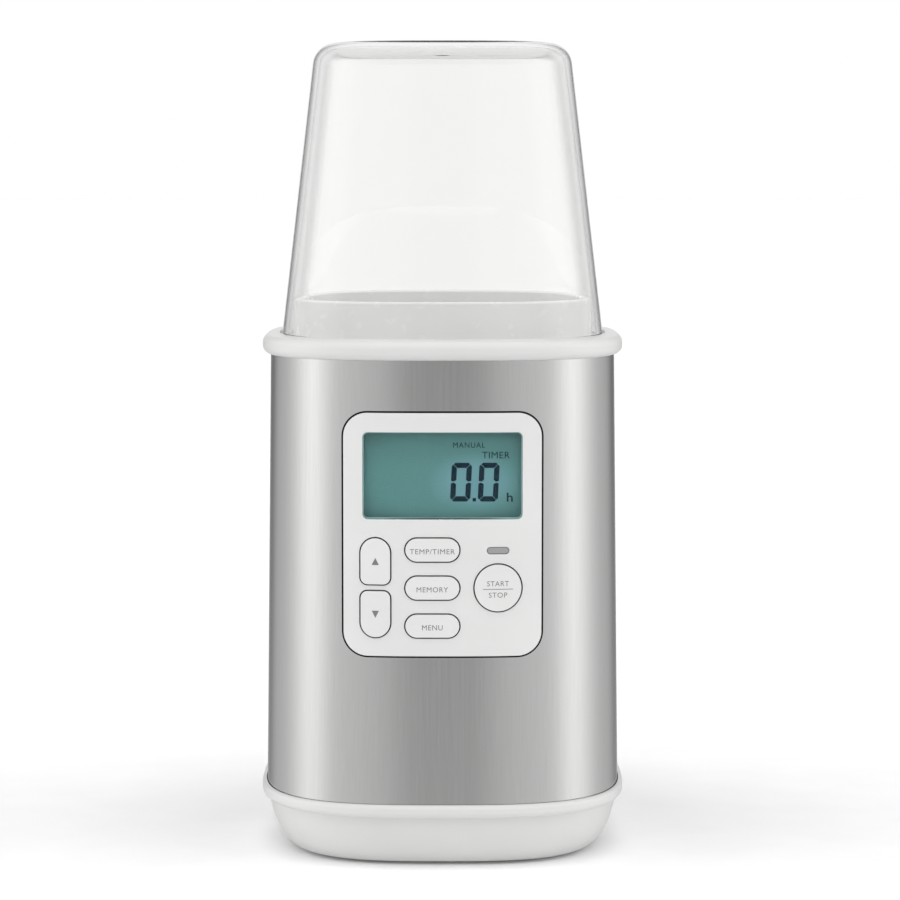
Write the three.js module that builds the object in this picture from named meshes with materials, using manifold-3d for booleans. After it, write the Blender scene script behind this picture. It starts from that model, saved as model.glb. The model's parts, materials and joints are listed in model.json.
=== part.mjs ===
// Table-top yogurt maker: a brushed steel body on a white base, a white inner pot under a clear
// lift-off cover, and a front control panel with a display window and six push buttons.
// Units are millimetres. X is across, -Y is the front, Z is up and the table is at Z = 0.

import * as THREE from 'three';
import { mergeVertices } from 'three/addons/utils/BufferGeometryUtils.js';
import Module from 'manifold-3d';

const wasm = await Module();
wasm.setup();

// ---- Driving dimensions --------------------------------------------------------------------

// Overall body. Every outer section is a rounded square of the same exponent.
const BODY_WIDTH = 122;        // steel shell across its lower edge
const SHELL_LEAN = 1.8;        // how far each side leans in by the shell's top
const DEPTH_RATIO = 1.05;      // depth of an outer section over its width
const SQUARENESS = 3;          // exponent of the rounded-square section
const BASE_HEIGHT = 22;        // table to the shell's lower edge
const SHELL_HEIGHT = 147.6;    // visible height of the shell
const COVER_HEIGHT = 99;       // foot to top of the clear cover
const GAP = 0.3;               // clearance between parts that touch
const RING_STEPS = 32;         // facets around a rounded-square section
const ROUND_STEPS = 16;        // facets around a small round piece
const SMALL_STEPS = 10;        // facets around a bore, screw or pin
const ARC_STEPS = 2;           // a quarter-turn corner has twice as many facets

// Walls
const SHELL_WALL = 0.6;
const COVER_WALL = 2;
const POT_WALL = 2;
const PLASTIC_WALL = 2.5;

// Collar on the shell's top edge
const COLLAR_HEIGHT = 6.9;     // shell edge to the collar's crest
const COLLAR_PROUD = 2.7;      // how far the bead stands out past the shell
const COLLAR_SKIRT = 7;        // skirt length inside the shell
const SHELL_TUCK = 1.4;        // how far the shell's edges enter the collar and the base

// Cover
const COVER_INSET = 3.85;      // shell top edge to the cover's foot
const COVER_LEAN = 11.6;       // how far each side of the cover leans in by its top
const COVER_CORNER = 7.5;      // radius between the cover's sides and top
const COVER_SEAT = 0.8;        // depth of the collar's seat for the cover

// Inner pot
const RIM_SPACE = 2.15;        // cover's inside to the pot's rim
const RIM_HEIGHT = 18.8;       // shell top edge to the pot's rim
const RIM_WALL = 2.5;
const RIM_LIP = 0.5;           // chamfer on the rim's edges
const POT_SHOULDER = 1;        // pot's side in from its rim
const POT_CORNER = 3;          // chamfer between the pot's side and its floor
const POT_LEAN = 3.2;          // how far each side of the pot leans in by its floor
const POT_FLOOR_LIFT = 6;      // shell's lower edge to the pot's underside
const FLANGE_WIDTH = 2.7;
const FLANGE_THICK = 1.8;
const EASE_HEIGHT = 20;        // height over which the pot's section turns square below the rim

// Base tub and plate
const RING_HEIGHT = 4.6;       // bead around the base, at the shell's lower edge
const RING_PROUD = 1.7;
const BOWL_TOP_INSET = 0.8;    // groove under the bead, in from the shell
const BOWL_LEAN = 8.2;         // groove to the bottom edge
const BOWL_EXPONENT = 1.6;     // roundness of the bowl's side
const FOOT_STAND = 0.9;        // table to the tub's bottom edge
const PLATE_INSET = 6;         // tub's bottom edge to the plate
const PLATE_THICK = 2.4;
const SHELF_DROP = 7.5;        // shell's lower edge to the top of the tub's shelf
const SHELF_THICK = 2.5;
const SHELF_REACH = 11;        // pot's floor edge to the shelf's opening
const LEDGE_WIDTH = 2;         // ledge in the tub that the base plate lies against
const LEDGE_THICK = 2;
const BOWL_STEPS = 5;          // facets up the bowl's side
const BEAD_STEPS = 6;          // facets round the collar's bead
const RING_BEAD_STEPS = 4;     // facets round the base's bead

// Fasteners, feet and posts
const SCREW_RADIUS = 1.5;
const SCREW_HEAD_RADIUS = 3;
const SCREW_HEAD_THICK = 1.7;
const SCREW_LENGTH = 9;
const HEAD_CROWN = 0.8;        // a screw head's flat over its width
const BOSS_RADIUS = 3.6;
const POST_RADIUS = 4;
const POST_INSET = 4.3;        // pot's floor corner to a post's axis
const BASE_SCREW_INSET = 4.7;  // plate edge to a base screw
const FOOT_RADIUS = 5.5;
const FOOT_THICK = 1.9;
const FOOT_INSET = 5.5;        // plate's corner to a foot's axis
const FOOT_POCKET = 0.8;
const FOOT_CHAMFER = 0.5;

// Front panel and keypad
const PANEL_WIDTH = 65.6;
const PANEL_HEIGHT = 80.6;
const PANEL_CORNER = 8;
const PANEL_DROP = 17.2;       // shell's top edge to the panel
const PANEL_PROUD = 0.4;
const PANEL_WALL = 2.1;
const PANEL_FLANGE = 3;        // how far the panel's flange reaches behind the shell
const SEAM = 0.35;             // gap around the panel and the keys
const WINDOW_MARGIN = 6.65;    // panel's sides and top to the display window
const WINDOW_HEIGHT = 28.3;
const WINDOW_CORNER = 1.8;
const WINDOW_THICK = 1;
const WINDOW_SINK = 0.6;       // window's face below the panel's face at its sides
const KEYPAD_DROP = 6.5;       // window to the top of the keys
const KEYPAD_MARGIN = 6.3;     // panel's lower edge to the keys
const KEY_SIDE_MARGIN = 5.7;   // panel's left edge to the arrow keys
const ARROW_WIDTH = 9.8;
const ARROW_SPLIT = 2.3;       // between the two arrow keys
const ARROW_CORNER = 2.3;
const KEY_COLUMN_GAP = 5.05;
const KEY_ROW_GAP = 5.05;
const START_SIDE_MARGIN = 6.7; // panel's right edge to the start key
const START_DROP = 8.675;      // top of the keys to the start key, and the same below it
const LENS_WIDTH = 7.2;
const LENS_HEIGHT = 2.2;
const LENS_DROP = 4.05;        // top of the keys to the indicator's centre
const KEY_PROUD = 0.9;
const KEY_FLANGE = 1;          // thickness of the flange that keeps a key in
const KEY_LIP = 0.55;          // how far that flange reaches past the key's cap
const KEY_TRAVEL = 0.5;
const KEY_STEM_RADIUS = 1.5;

// Control board behind the panel
const DISPLAY_THICK = 1.85;
const DISPLAY_REACH = 0.6;     // how far the display reaches past the window's outline
const HOLDER_WALL = 1.2;
const HOLDER_DEPTH = 2;
const BOARD_THICK = 1.2;
const BOARD_SIDE_MARGIN = 1;
const SWITCH_SIZE = 6;
const SWITCH_HEIGHT = 3.1;
const SWITCH_CORNER = 0.6;
const SWITCH_FLOOR = 0.5;
const LED_WIDTH = 3;
const LED_THICK = 1.6;
const PLUNGER_RADIUS = 1.6;
const PLUNGER_BORE = 1.9;
const PLUNGER_PROUD = 0.9;
const CHIP_SIZE = 10;
const CHIP_THICK = 1.2;
const BOARD_SCREW_RADIUS = 0.9;
const BOARD_SCREW_LENGTH = 4;
const BOARD_SCREW_HEAD_RADIUS = 1.8;
const BOARD_SCREW_HEAD_THICK = 1.2;
const BOARD_CORNER = 2;
const BOARD_BOSS_RADIUS = 2.2;
const BOARD_BOSS_INSET_X = 3.5;
const BOARD_BOSS_INSET_Z = 2.4;

// Heating
const HEATER_THICK = 1;
const HEATER_LOW = 17;         // pot's underside to the heater band
const HEATER_DROP = 10.95;     // microcontroller to the heater band's top
const THERMISTOR_RADIUS = 4.5;
const THERMISTOR_THICK = 3.4;
const THERMISTOR_PAD = 1;      // thickness of its wide face
const THERMISTOR_NECK = 0.6;   // its body over its wide face
const FUSE_RADIUS = 2;
const FUSE_LENGTH = 12;
const LEAD_RADIUS = 1.2;
const LEAD_SIDES = 6;
const RIBBON_WIDTH = 10;
const RIBBON_THICK = 0.9;
const RIBBON_STEPS = 30;
const LEAD_STEPS = 20;

// Power board in the base
const POWER_BOARD_WIDTH = 56;
const POWER_BOARD_DEPTH = 52;
const POWER_BOARD_THICK = 1.6;
const POWER_BOARD_BACK = 2;    // the board's centre behind the axis
const STANDOFF_HEIGHT = 4.3;
const STANDOFF_RADIUS = 3;
const STANDOFF_INSET = 4;
const TRANSFORMER_CORE = [22, 12, 13];
const TRANSFORMER_WINDING = [14, 18, 9];
const TRANSFORMER_PLACE = [-14, 14];
const RELAY_SIZE = [9, 16, 12];
const RELAY_PLACE = [7, 14];
const TERMINAL_SIZE = [10, 16, 8];
const TERMINAL_PLACE = [19.5, 13];
const TERMINAL_PORT = 1.6;     // radius of a wire port
const TERMINAL_PORT_DEPTH = 3;
const TERMINAL_PITCH = 5;
const CAPACITOR_RADIUS = 4.5;
const CAPACITOR_HEIGHT = 12;
const CAPACITOR_GROOVE = 0.4;
const CAPACITOR_PLACE = [-19, -9];
const MAINS_FUSE_RADIUS = 2.6;
const MAINS_FUSE_LENGTH = 20;
const MAINS_FUSE_PLACE = [-2, -3];
const FUSE_CAP = 0.2;          // a fuse's metal cap over its length
const FUSE_NECK = 0.8;         // its glass over its cap's width
const GLAND_HEIGHT = 10;       // table to the cord gland's axis
const GLAND_BORE = 3.5;
const GLAND_RADIUS = 5;
const GLAND_FLANGE = 6.4;
const GLAND_FLANGE_THICK = 1.4;

// ---- Finishes ------------------------------------------------------------------------------

const FINISH = {
  white: { color: 0xeeeeec, roughness: 0.38, metalness: 0 },
  clear: { color: 0xe9edee, roughness: 0.05, metalness: 0, transparent: true, opacity: 0.3 },
  steel: { color: 0xb9babb, roughness: 0.32, metalness: 1 },
  window: { color: 0x5f8a88, roughness: 0.08, metalness: 0 },
  display: { color: 0x58827f, roughness: 0.3, metalness: 0 },
  key: { color: 0xf1f1ef, roughness: 0.45, metalness: 0 },
  lens: { color: 0x9b9b9b, roughness: 0.3, metalness: 0 },
  rubber: { color: 0x8b8c8d, roughness: 0.8, metalness: 0 },
  screw: { color: 0xa8a9ab, roughness: 0.35, metalness: 1 },
  board: { color: 0x2f6b45, roughness: 0.55, metalness: 0 },
  black: { color: 0x1c1c1e, roughness: 0.5, metalness: 0 },
  foil: { color: 0xc4c6c8, roughness: 0.4, metalness: 1 },
  cable: { color: 0xc9c9c6, roughness: 0.6, metalness: 0 },
  red: { color: 0xb4453a, roughness: 0.5, metalness: 0 },
  amber: { color: 0xc98a3c, roughness: 0.4, metalness: 0 },
  glass: { color: 0xd5dcdc, roughness: 0.1, metalness: 0 },
};

// ---- Solids --------------------------------------------------------------------------------

const WELD = 1e-4;
const FAR = 200;               // longer than any part, for cutters
const TURN = Math.PI * 2;

// A closed three.js geometry as a manifold solid with its faces pointing out.
function solidOf(geometry) {
  const bare = geometry.clone();
  bare.deleteAttribute('normal');
  bare.deleteAttribute('uv');
  const merged = mergeVertices(bare, WELD);
  const corner = merged.getIndex().array;
  const place = merged.getAttribute('position').array;
  const triVerts = [];
  let volume = 0;
  for (let i = 0; i < corner.length; i += 3) {
    const [a, b, c] = [corner[i], corner[i + 1], corner[i + 2]];
    if (a === b || b === c || c === a) continue;
    triVerts.push(a, b, c);
    const [p, q, r] = [a, b, c].map((k) => new THREE.Vector3().fromArray(place, 3 * k));
    volume += p.dot(q.cross(r));
  }
  if (volume < 0) triVerts.reverse();
  const mesh = new wasm.Mesh({
    numProp: 3,
    vertProperties: new Float32Array(place),
    triVerts: new Uint32Array(triVerts),
  });
  mesh.merge();
  return new wasm.Manifold(mesh);
}

function geometryOf(solid) {
  const mesh = solid.getMesh();
  const geometry = new THREE.BufferGeometry();
  const place = new Float32Array(mesh.vertProperties);
  geometry.setAttribute('position', new THREE.BufferAttribute(place, mesh.numProp));
  geometry.setIndex(new THREE.BufferAttribute(new Uint32Array(mesh.triVerts), 1));
  geometry.computeVertexNormals();
  return geometry;
}

// A solid turned about Z from [radius, height] points. A profile that leaves the axis closes
// on itself.
function turnedGeometry(profile, steps) {
  const points = profile.map(([radius, height]) => new THREE.Vector2(radius, height));
  if (profile[0][0] > 0) points.push(points[0].clone());
  return new THREE.LatheGeometry(points, steps).rotateX(Math.PI / 2);
}

const turned = (profile, steps = ROUND_STEPS) => solidOf(turnedGeometry(profile, steps));

// One point of a rounded-square section.
function sectionPoint(angle, half, ratio) {
  const power = 2 / SQUARENESS;
  const across = Math.abs(Math.cos(angle)) ** power * Math.sign(Math.cos(angle));
  const deep = Math.abs(Math.sin(angle)) ** power * Math.sign(Math.sin(angle));
  return [half * across, half * ratio * deep];
}

// The same turning with rounded-square sections: a profile's radius is half the width.
function squared(profile, ratioAt = () => DEPTH_RATIO) {
  const geometry = turnedGeometry(profile, RING_STEPS);
  const place = geometry.getAttribute('position');
  for (let i = 0; i < place.count; i++) {
    const [x, y, z] = [place.getX(i), place.getY(i), place.getZ(i)];
    const half = Math.hypot(x, y);
    if (half > WELD) place.setXY(i, ...sectionPoint(Math.atan2(y, x), half, ratioAt(z)));
  }
  return solidOf(geometry);
}

function roundedShape(width, height, corner) {
  const [w, h] = [width / 2, height / 2];
  const r = Math.min(corner, w, h);
  const shape = new THREE.Shape();
  shape.moveTo(-w + r, -h);
  shape.lineTo(w - r, -h);
  shape.absarc(w - r, -h + r, r, -TURN / 4, 0);
  shape.lineTo(w, h - r);
  shape.absarc(w - r, h - r, r, 0, TURN / 4);
  shape.lineTo(-w + r, h);
  shape.absarc(-w + r, h - r, r, TURN / 4, TURN / 2);
  shape.lineTo(-w, -h + r);
  shape.absarc(-w + r, -h + r, r, TURN / 2, TURN * 3 / 4);
  return shape;
}

// An outline in X and Z, centred on (x, z), extruded from front to back along Y.
function frontPrism(shape, x, z, front, back) {
  const options = { depth: back - front, bevelEnabled: false, curveSegments: ARC_STEPS };
  const geometry = new THREE.ExtrudeGeometry(shape, options);
  return solidOf(geometry.rotateX(Math.PI / 2).translate(x, back, z));
}

const block = (w, d, h) => solidOf(new THREE.BoxGeometry(w, d, h));

// A round bar along Y, from front to back.
function frontPin(radius, x, z, front, back, steps = SMALL_STEPS) {
  const geometry = new THREE.CylinderGeometry(radius, radius, back - front, steps);
  return solidOf(geometry.translate(x, (front + back) / 2, z));
}

// A round bar along Z, from low to high.
function uprightPin(radius, x, y, low, high, steps = SMALL_STEPS) {
  const geometry = new THREE.CylinderGeometry(radius, radius, high - low, steps);
  return solidOf(geometry.rotateX(Math.PI / 2).translate(x, y, (low + high) / 2));
}

const joined = (first, ...others) => others.reduce((whole, piece) => whole.add(piece), first);
const cutBy = (solid, ...tools) => tools.reduce((left, tool) => left.subtract(tool), solid);

function tube(points, outline, steps) {
  const path = new THREE.CatmullRomCurve3(points.map((p) => new THREE.Vector3(...p)));
  return solidOf(new THREE.ExtrudeGeometry(outline, { steps, extrudePath: path, curveSegments: 1 }));
}

// ---- Sizes that follow from the driving ones -------------------------------------------------

const shellHalf = (z) => BODY_WIDTH / 2 - SHELL_LEAN * (z - BASE_HEIGHT) / SHELL_HEIGHT;
const shellTop = BASE_HEIGHT + SHELL_HEIGHT;
const shellTopHalf = shellHalf(shellTop);
const cornerShare = 0.5 ** (1 / SQUARENESS);

const crestZ = shellTop + COLLAR_HEIGHT;
const seatZ = crestZ - COVER_SEAT;
const coverFootZ = seatZ + GAP;
const coverFootHalf = shellTopHalf - COVER_INSET;
const coverTopZ = coverFootZ + COVER_HEIGHT;

const rimZ = shellTop + RIM_HEIGHT;
const rimHalf = coverFootHalf - COVER_WALL - RIM_SPACE;
const flangeTopZ = seatZ;
const flangeLowZ = flangeTopZ - FLANGE_THICK;
const potTopHalf = rimHalf - POT_SHOULDER;
const flangeHalf = potTopHalf + FLANGE_WIDTH;
const potLowZ = BASE_HEIGHT + POT_FLOOR_LIFT;
const potHalf = (z) => potTopHalf - POT_LEAN * (flangeLowZ - z) / (flangeLowZ - potLowZ);

// The pot's section is as deep as the shell's at the rim and turns square below it.
const easeTopZ = shellTop - COLLAR_SKIRT;
const easeLowZ = easeTopZ - EASE_HEIGHT;
function potRatio(z) {
  const share = THREE.MathUtils.smoothstep(z, easeLowZ, easeTopZ);
  return 1 + (DEPTH_RATIO - 1) * share;
}

const ringLowZ = BASE_HEIGHT - RING_HEIGHT;
const bowlTopHalf = shellHalf(ringLowZ) - BOWL_TOP_INSET;
const bowlLowHalf = bowlTopHalf - BOWL_LEAN;
const plateHalf = bowlLowHalf - PLATE_INSET;
const plateLowZ = FOOT_STAND + GAP;
const plateTopZ = plateLowZ + PLATE_THICK;
const shelfTopZ = BASE_HEIGHT - SHELF_DROP;
const shelfLowZ = shelfTopZ - SHELF_THICK;
const shelfHalf = potHalf(potLowZ) - SHELF_REACH;
const baseScrewPlaces = [0, 1, 2, 3].map((k) => {
  const reach = plateHalf - BASE_SCREW_INSET;
  const angle = k * TURN / 4;
  return [Math.cos(angle) * reach, Math.sin(angle) * reach * DEPTH_RATIO];
});

const QUADRANTS = [[1, -1], [1, 1], [-1, 1], [-1, -1]];
const postReach = potHalf(potLowZ) * cornerShare - POST_INSET;
const postPlaces = QUADRANTS.map(([sx, sy]) => [sx * postReach, sy * postReach]);
const postLowZ = shelfTopZ + GAP;

const footReach = plateHalf * cornerShare - FOOT_INSET;
const footPlaces = QUADRANTS.map(([sx, sy]) => [sx * footReach, sy * footReach * DEPTH_RATIO]);

// Panel and keypad, from the panel's edges inwards.
const panelTopZ = shellTop - PANEL_DROP;
const panelLowZ = panelTopZ - PANEL_HEIGHT;
const panelZ = (panelTopZ + panelLowZ) / 2;
const windowWidth = PANEL_WIDTH - 2 * WINDOW_MARGIN;
const windowZ = panelTopZ - WINDOW_MARGIN - WINDOW_HEIGHT / 2;
const keysTopZ = windowZ - WINDOW_HEIGHT / 2 - KEYPAD_DROP;
const keysLowZ = panelLowZ + KEYPAD_MARGIN;
const keysZ = (keysTopZ + keysLowZ) / 2;
const keysHeight = keysTopZ - keysLowZ;
const arrowX = -PANEL_WIDTH / 2 + KEY_SIDE_MARGIN + ARROW_WIDTH / 2;
const arrowHeight = (keysHeight - ARROW_SPLIT) / 2;
const startRadius = keysHeight / 2 - START_DROP;
const startX = PANEL_WIDTH / 2 - START_SIDE_MARGIN - startRadius;
const rowLeft = arrowX + ARROW_WIDTH / 2 + KEY_COLUMN_GAP;
const rowRight = startX - startRadius - KEY_COLUMN_GAP;
const rowX = (rowLeft + rowRight) / 2;
const rowWidth = rowRight - rowLeft;
const rowHeight = (keysHeight - 2 * KEY_ROW_GAP) / 3;
const rowPitch = rowHeight + KEY_ROW_GAP;
const lensZ = keysTopZ - LENS_DROP;
const keyLip = Math.min(KEY_LIP, (ARROW_SPLIT - GAP) / 2);

// Y of the shell's faceted front, moved out by offset.
function frontY(x, z, offset) {
  const half = shellHalf(z) + offset;
  for (let k = 0; k < RING_STEPS / 4; k++) {
    const [x0, y0] = sectionPoint(-TURN / 4 + k * TURN / RING_STEPS, half, DEPTH_RATIO);
    const [x1, y1] = sectionPoint(-TURN / 4 + (k + 1) * TURN / RING_STEPS, half, DEPTH_RATIO);
    if (Math.abs(x) <= x1) return y0 + (y1 - y0) * (Math.abs(x) - x0) / (x1 - x0);
  }
  return 0;
}

// The stack behind the panel, from front to back.
const windowTopZ = windowZ + WINDOW_HEIGHT / 2;
const windowFront = frontY(windowWidth / 2, windowTopZ, PANEL_PROUD) + WINDOW_SINK;
const displayWidth = windowWidth + 2 * DISPLAY_REACH;
const displayHeight = WINDOW_HEIGHT + 2 * DISPLAY_REACH;
const holderWidth = displayWidth + 2 * (GAP + HOLDER_WALL);
const displayClear = frontY(holderWidth / 2, windowTopZ, -PANEL_WALL) + 2 * GAP;
const displayFront = Math.max(displayClear, windowFront + WINDOW_THICK + GAP);
const displayBack = displayFront + DISPLAY_THICK;
const boardFront = displayBack + HOLDER_DEPTH + 2 * GAP;
const boardBack = boardFront + BOARD_THICK;
const switchFront = boardFront - GAP - SWITCH_HEIGHT;
const plungerFront = switchFront - PLUNGER_PROUD;
const boardBossPlaces = QUADRANTS.map(([sx, sz]) => [
  sx * (PANEL_WIDTH / 2 - BOARD_BOSS_INSET_X),
  panelZ + sz * (PANEL_HEIGHT / 2 - BOARD_BOSS_INSET_Z),
]);

const bandLowZ = potLowZ + HEATER_LOW;
const bandTopZ = keysTopZ - CHIP_SIZE / 2 - HEATER_DROP;
const bandHeight = bandTopZ - bandLowZ;
const bandOuter = (z) => potHalf(z) + GAP + HEATER_THICK;

const powerLowZ = plateTopZ + STANDOFF_HEIGHT + GAP;
const powerTopZ = powerLowZ + POWER_BOARD_THICK;

// ---- Outer pieces ----------------------------------------------------------------------------

// A quarter round between a side and a top, as [radius, height] points.
function quarterRound(cornerHalf, cornerZ, radius, steps) {
  return Array.from({ length: steps + 1 }, (_, k) => {
    const angle = k * TURN / 4 / steps;
    return [cornerHalf - radius + radius * Math.cos(angle), cornerZ - radius + radius * Math.sin(angle)];
  });
}

function makeCover() {
  const topHalf = coverFootHalf - COVER_LEAN;
  const outer = quarterRound(topHalf, coverTopZ, COVER_CORNER, 4);
  const innerTop = coverTopZ - COVER_WALL;
  const inner = quarterRound(topHalf - COVER_WALL, innerTop, COVER_CORNER - COVER_WALL, 4).reverse();
  return squared([
    [0, innerTop],
    ...inner,
    [coverFootHalf - COVER_WALL, coverFootZ],
    [coverFootHalf, coverFootZ],
    ...outer,
    [0, coverTopZ],
  ]);
}

// A half-round bead that stands out from inner to outer, as [radius, height] points from low
// to high.
function bead(inner, outer, low, high, steps) {
  return Array.from({ length: steps + 1 }, (_, k) => {
    const angle = (k / steps - 1 / 2) * TURN / 2;
    return [
      inner + (outer - inner) * Math.cos(angle),
      (low + high) / 2 + (high - low) / 2 * Math.sin(angle),
    ];
  });
}

function makeCollar() {
  const skirtLowZ = shellTop - COLLAR_SKIRT;
  const skirtOuter = shellHalf(skirtLowZ) - SHELL_WALL - 2 * GAP;
  const skirtInner = skirtOuter - PLASTIC_WALL / 2;
  const grooveZ = shellTop + SHELL_TUCK + GAP;
  const ledgeHalf = potTopHalf + GAP;
  const ledgeLowZ = flangeLowZ - GAP - PLASTIC_WALL;
  const seatOuter = coverFootHalf + 2 * GAP;
  return squared([
    [ledgeHalf, ledgeLowZ],
    [skirtInner, ledgeLowZ],
    [skirtInner, skirtLowZ],
    [skirtOuter, skirtLowZ],
    [skirtOuter, grooveZ],
    [shellTopHalf + GAP, grooveZ],
    ...bead(shellTopHalf + GAP, shellTopHalf + COLLAR_PROUD, shellTop, crestZ, BEAD_STEPS),
    [seatOuter, crestZ],
    [seatOuter, seatZ],
    [flangeHalf + GAP, seatZ],
    [flangeHalf + GAP, flangeLowZ - GAP],
    [ledgeHalf, flangeLowZ - GAP],
  ]);
}

function makeShell() {
  const [low, high] = [BASE_HEIGHT - SHELL_TUCK, shellTop + SHELL_TUCK];
  const wall = squared([
    [shellHalf(low) - SHELL_WALL, low],
    [shellHalf(low), low],
    [shellHalf(high), high],
    [shellHalf(high) - SHELL_WALL, high],
  ]);
  const opening = roundedShape(PANEL_WIDTH + 2 * SEAM, PANEL_HEIGHT + 2 * SEAM, PANEL_CORNER + SEAM);
  return wall.subtract(frontPrism(opening, 0, panelZ, -FAR, 0));
}

function makePot() {
  const innerFloorZ = potLowZ + POT_WALL;
  const easeMidZ = (easeLowZ + easeTopZ) / 2;
  const innerHalf = (z) => potHalf(z) - POT_WALL;
  const body = squared([
    [0, innerFloorZ],
    [innerHalf(innerFloorZ) - POT_CORNER / 3, innerFloorZ],
    [innerHalf(innerFloorZ), innerFloorZ + POT_CORNER / 3],
    [innerHalf(easeLowZ), easeLowZ],
    [innerHalf(easeMidZ), easeMidZ],
    [innerHalf(easeTopZ), easeTopZ],
    [rimHalf - RIM_WALL, rimZ - RIM_LIP],
    [rimHalf - RIM_WALL + RIM_LIP, rimZ],
    [rimHalf - RIM_LIP, rimZ],
    [rimHalf, rimZ - RIM_LIP],
    [rimHalf + RIM_LIP / 2, flangeTopZ],
    [flangeHalf, flangeTopZ],
    [flangeHalf, flangeLowZ],
    [potTopHalf, flangeLowZ],
    [potHalf(easeTopZ), easeTopZ],
    [potHalf(easeMidZ), easeMidZ],
    [potHalf(easeLowZ), easeLowZ],
    [potHalf(potLowZ), potLowZ + POT_CORNER],
    [potHalf(potLowZ) - POT_CORNER, potLowZ],
    [0, potLowZ],
  ], potRatio);
  const posts = postPlaces.map(([x, y]) => {
    const post = uprightPin(POST_RADIUS, x, y, postLowZ, potLowZ + POT_WALL / 2);
    return post.subtract(uprightPin(SCREW_RADIUS + GAP, x, y, 0, potLowZ - POT_WALL));
  });
  return joined(body, ...posts);
}

// ---- Base ------------------------------------------------------------------------------------

function bowlPoint(angle) {
  const power = 2 / BOWL_EXPONENT;
  return [
    bowlLowHalf + BOWL_LEAN * Math.sin(angle) ** power,
    ringLowZ - (ringLowZ - FOOT_STAND) * Math.cos(angle) ** power,
  ];
}

// The bowl's inside at a height.
function bowlInside(z) {
  const drop = (ringLowZ - z) / (ringLowZ - FOOT_STAND);
  return bowlPoint(Math.acos(drop ** (BOWL_EXPONENT / 2)))[0] - PLASTIC_WALL;
}

function makeTub() {
  const ringHalf = shellHalf(BASE_HEIGHT) + RING_PROUD;
  const grooveOuter = shellHalf(BASE_HEIGHT - SHELL_TUCK) + GAP;
  const grooveInner = grooveOuter - SHELL_WALL - 2 * GAP;
  const grooveZ = BASE_HEIGHT - SHELL_TUCK - GAP;
  const guideTopZ = BASE_HEIGHT + PLASTIC_WALL;
  const guideInner = grooveInner - GAP - PLASTIC_WALL / 2;
  const ledgeZ = plateTopZ + GAP;
  const recessHalf = plateHalf + GAP;
  const bowl = Array.from({ length: BOWL_STEPS + 1 }, (_, k) => bowlPoint(k / BOWL_STEPS * TURN / 4));
  const ring = squared([
    [recessHalf, FOOT_STAND],
    ...bowl,
    ...bead(grooveOuter, ringHalf, ringLowZ, BASE_HEIGHT, RING_BEAD_STEPS),
    [grooveOuter, grooveZ],
    [grooveInner - GAP, grooveZ],
    [grooveInner - GAP, guideTopZ],
    [guideInner, guideTopZ],
    [guideInner, shelfTopZ],
    [shelfHalf, shelfTopZ],
    [shelfHalf, shelfLowZ],
    [bowlInside(shelfLowZ), shelfLowZ],
    [bowlInside(ledgeZ + LEDGE_THICK), ledgeZ + LEDGE_THICK],
    [recessHalf - LEDGE_WIDTH, ledgeZ + LEDGE_THICK],
    [recessHalf - LEDGE_WIDTH, ledgeZ],
    [recessHalf, ledgeZ],
  ]);
  const bosses = baseScrewPlaces.map(([x, y]) => {
    const boss = uprightPin(BOSS_RADIUS, x, y, ledgeZ, shelfLowZ + SHELF_THICK / 2);
    return boss.subtract(uprightPin(SCREW_RADIUS + GAP, x, y, 0, shelfLowZ + GAP));
  });
  const bores = postPlaces.map(([x, y]) => uprightPin(SCREW_RADIUS + GAP, x, y, 0, BASE_HEIGHT));
  const baseBores = baseScrewPlaces.map(([x, y]) => (
    uprightPin(SCREW_RADIUS + GAP, x, y, 0, shelfLowZ + GAP)));
  const glandHole = frontPin(GLAND_RADIUS + GAP, 0, GLAND_HEIGHT, shelfHalf, FAR, ROUND_STEPS);
  return cutBy(joined(ring, ...bosses), ...bores, ...baseBores, glandHole);
}

function makeBasePlate() {
  const plate = squared([[0, plateLowZ], [plateHalf, plateLowZ], [plateHalf, plateTopZ], [0, plateTopZ]]);
  const sinks = baseScrewPlaces.map(([x, y]) => {
    const head = uprightPin(SCREW_HEAD_RADIUS + GAP, x, y, 0, plateLowZ + PLATE_THICK / 2);
    return head.add(uprightPin(SCREW_RADIUS + GAP, x, y, 0, FAR));
  });
  const pockets = footPlaces.map(([x, y]) => (
    uprightPin(FOOT_RADIUS + GAP, x, y, 0, plateLowZ + FOOT_POCKET, ROUND_STEPS)));
  const reachX = POWER_BOARD_WIDTH / 2 - STANDOFF_INSET;
  const reachY = POWER_BOARD_DEPTH / 2 - STANDOFF_INSET;
  const standoffs = QUADRANTS.flatMap(([sx, sy]) => {
    const [x, y] = [sx * reachX, sy * reachY + POWER_BOARD_BACK];
    return [
      uprightPin(STANDOFF_RADIUS, x, y, plateTopZ - GAP, plateTopZ + STANDOFF_HEIGHT),
      uprightPin(SCREW_RADIUS - GAP, x, y, plateTopZ - GAP, powerTopZ + 2 * GAP),
    ];
  });
  return cutBy(joined(plate, ...standoffs), ...sinks, ...pockets);
}

function makeFoot() {
  return turned([
    [0, 0],
    [FOOT_RADIUS - FOOT_CHAMFER, 0],
    [FOOT_RADIUS, FOOT_CHAMFER],
    [FOOT_RADIUS, FOOT_THICK - GAP],
    [0, FOOT_THICK - GAP],
  ]);
}

// A pan-head screw standing on its head, its head's underside at Z = 0.
function makeScrew(radius, headRadius, headThick, length) {
  return turned([
    [0, -headThick],
    [headRadius * HEAD_CROWN, -headThick],
    [headRadius, -headThick / 2],
    [headRadius, 0],
    [radius, 0],
    [radius, length],
    [0, length],
  ], SMALL_STEPS);
}

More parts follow.
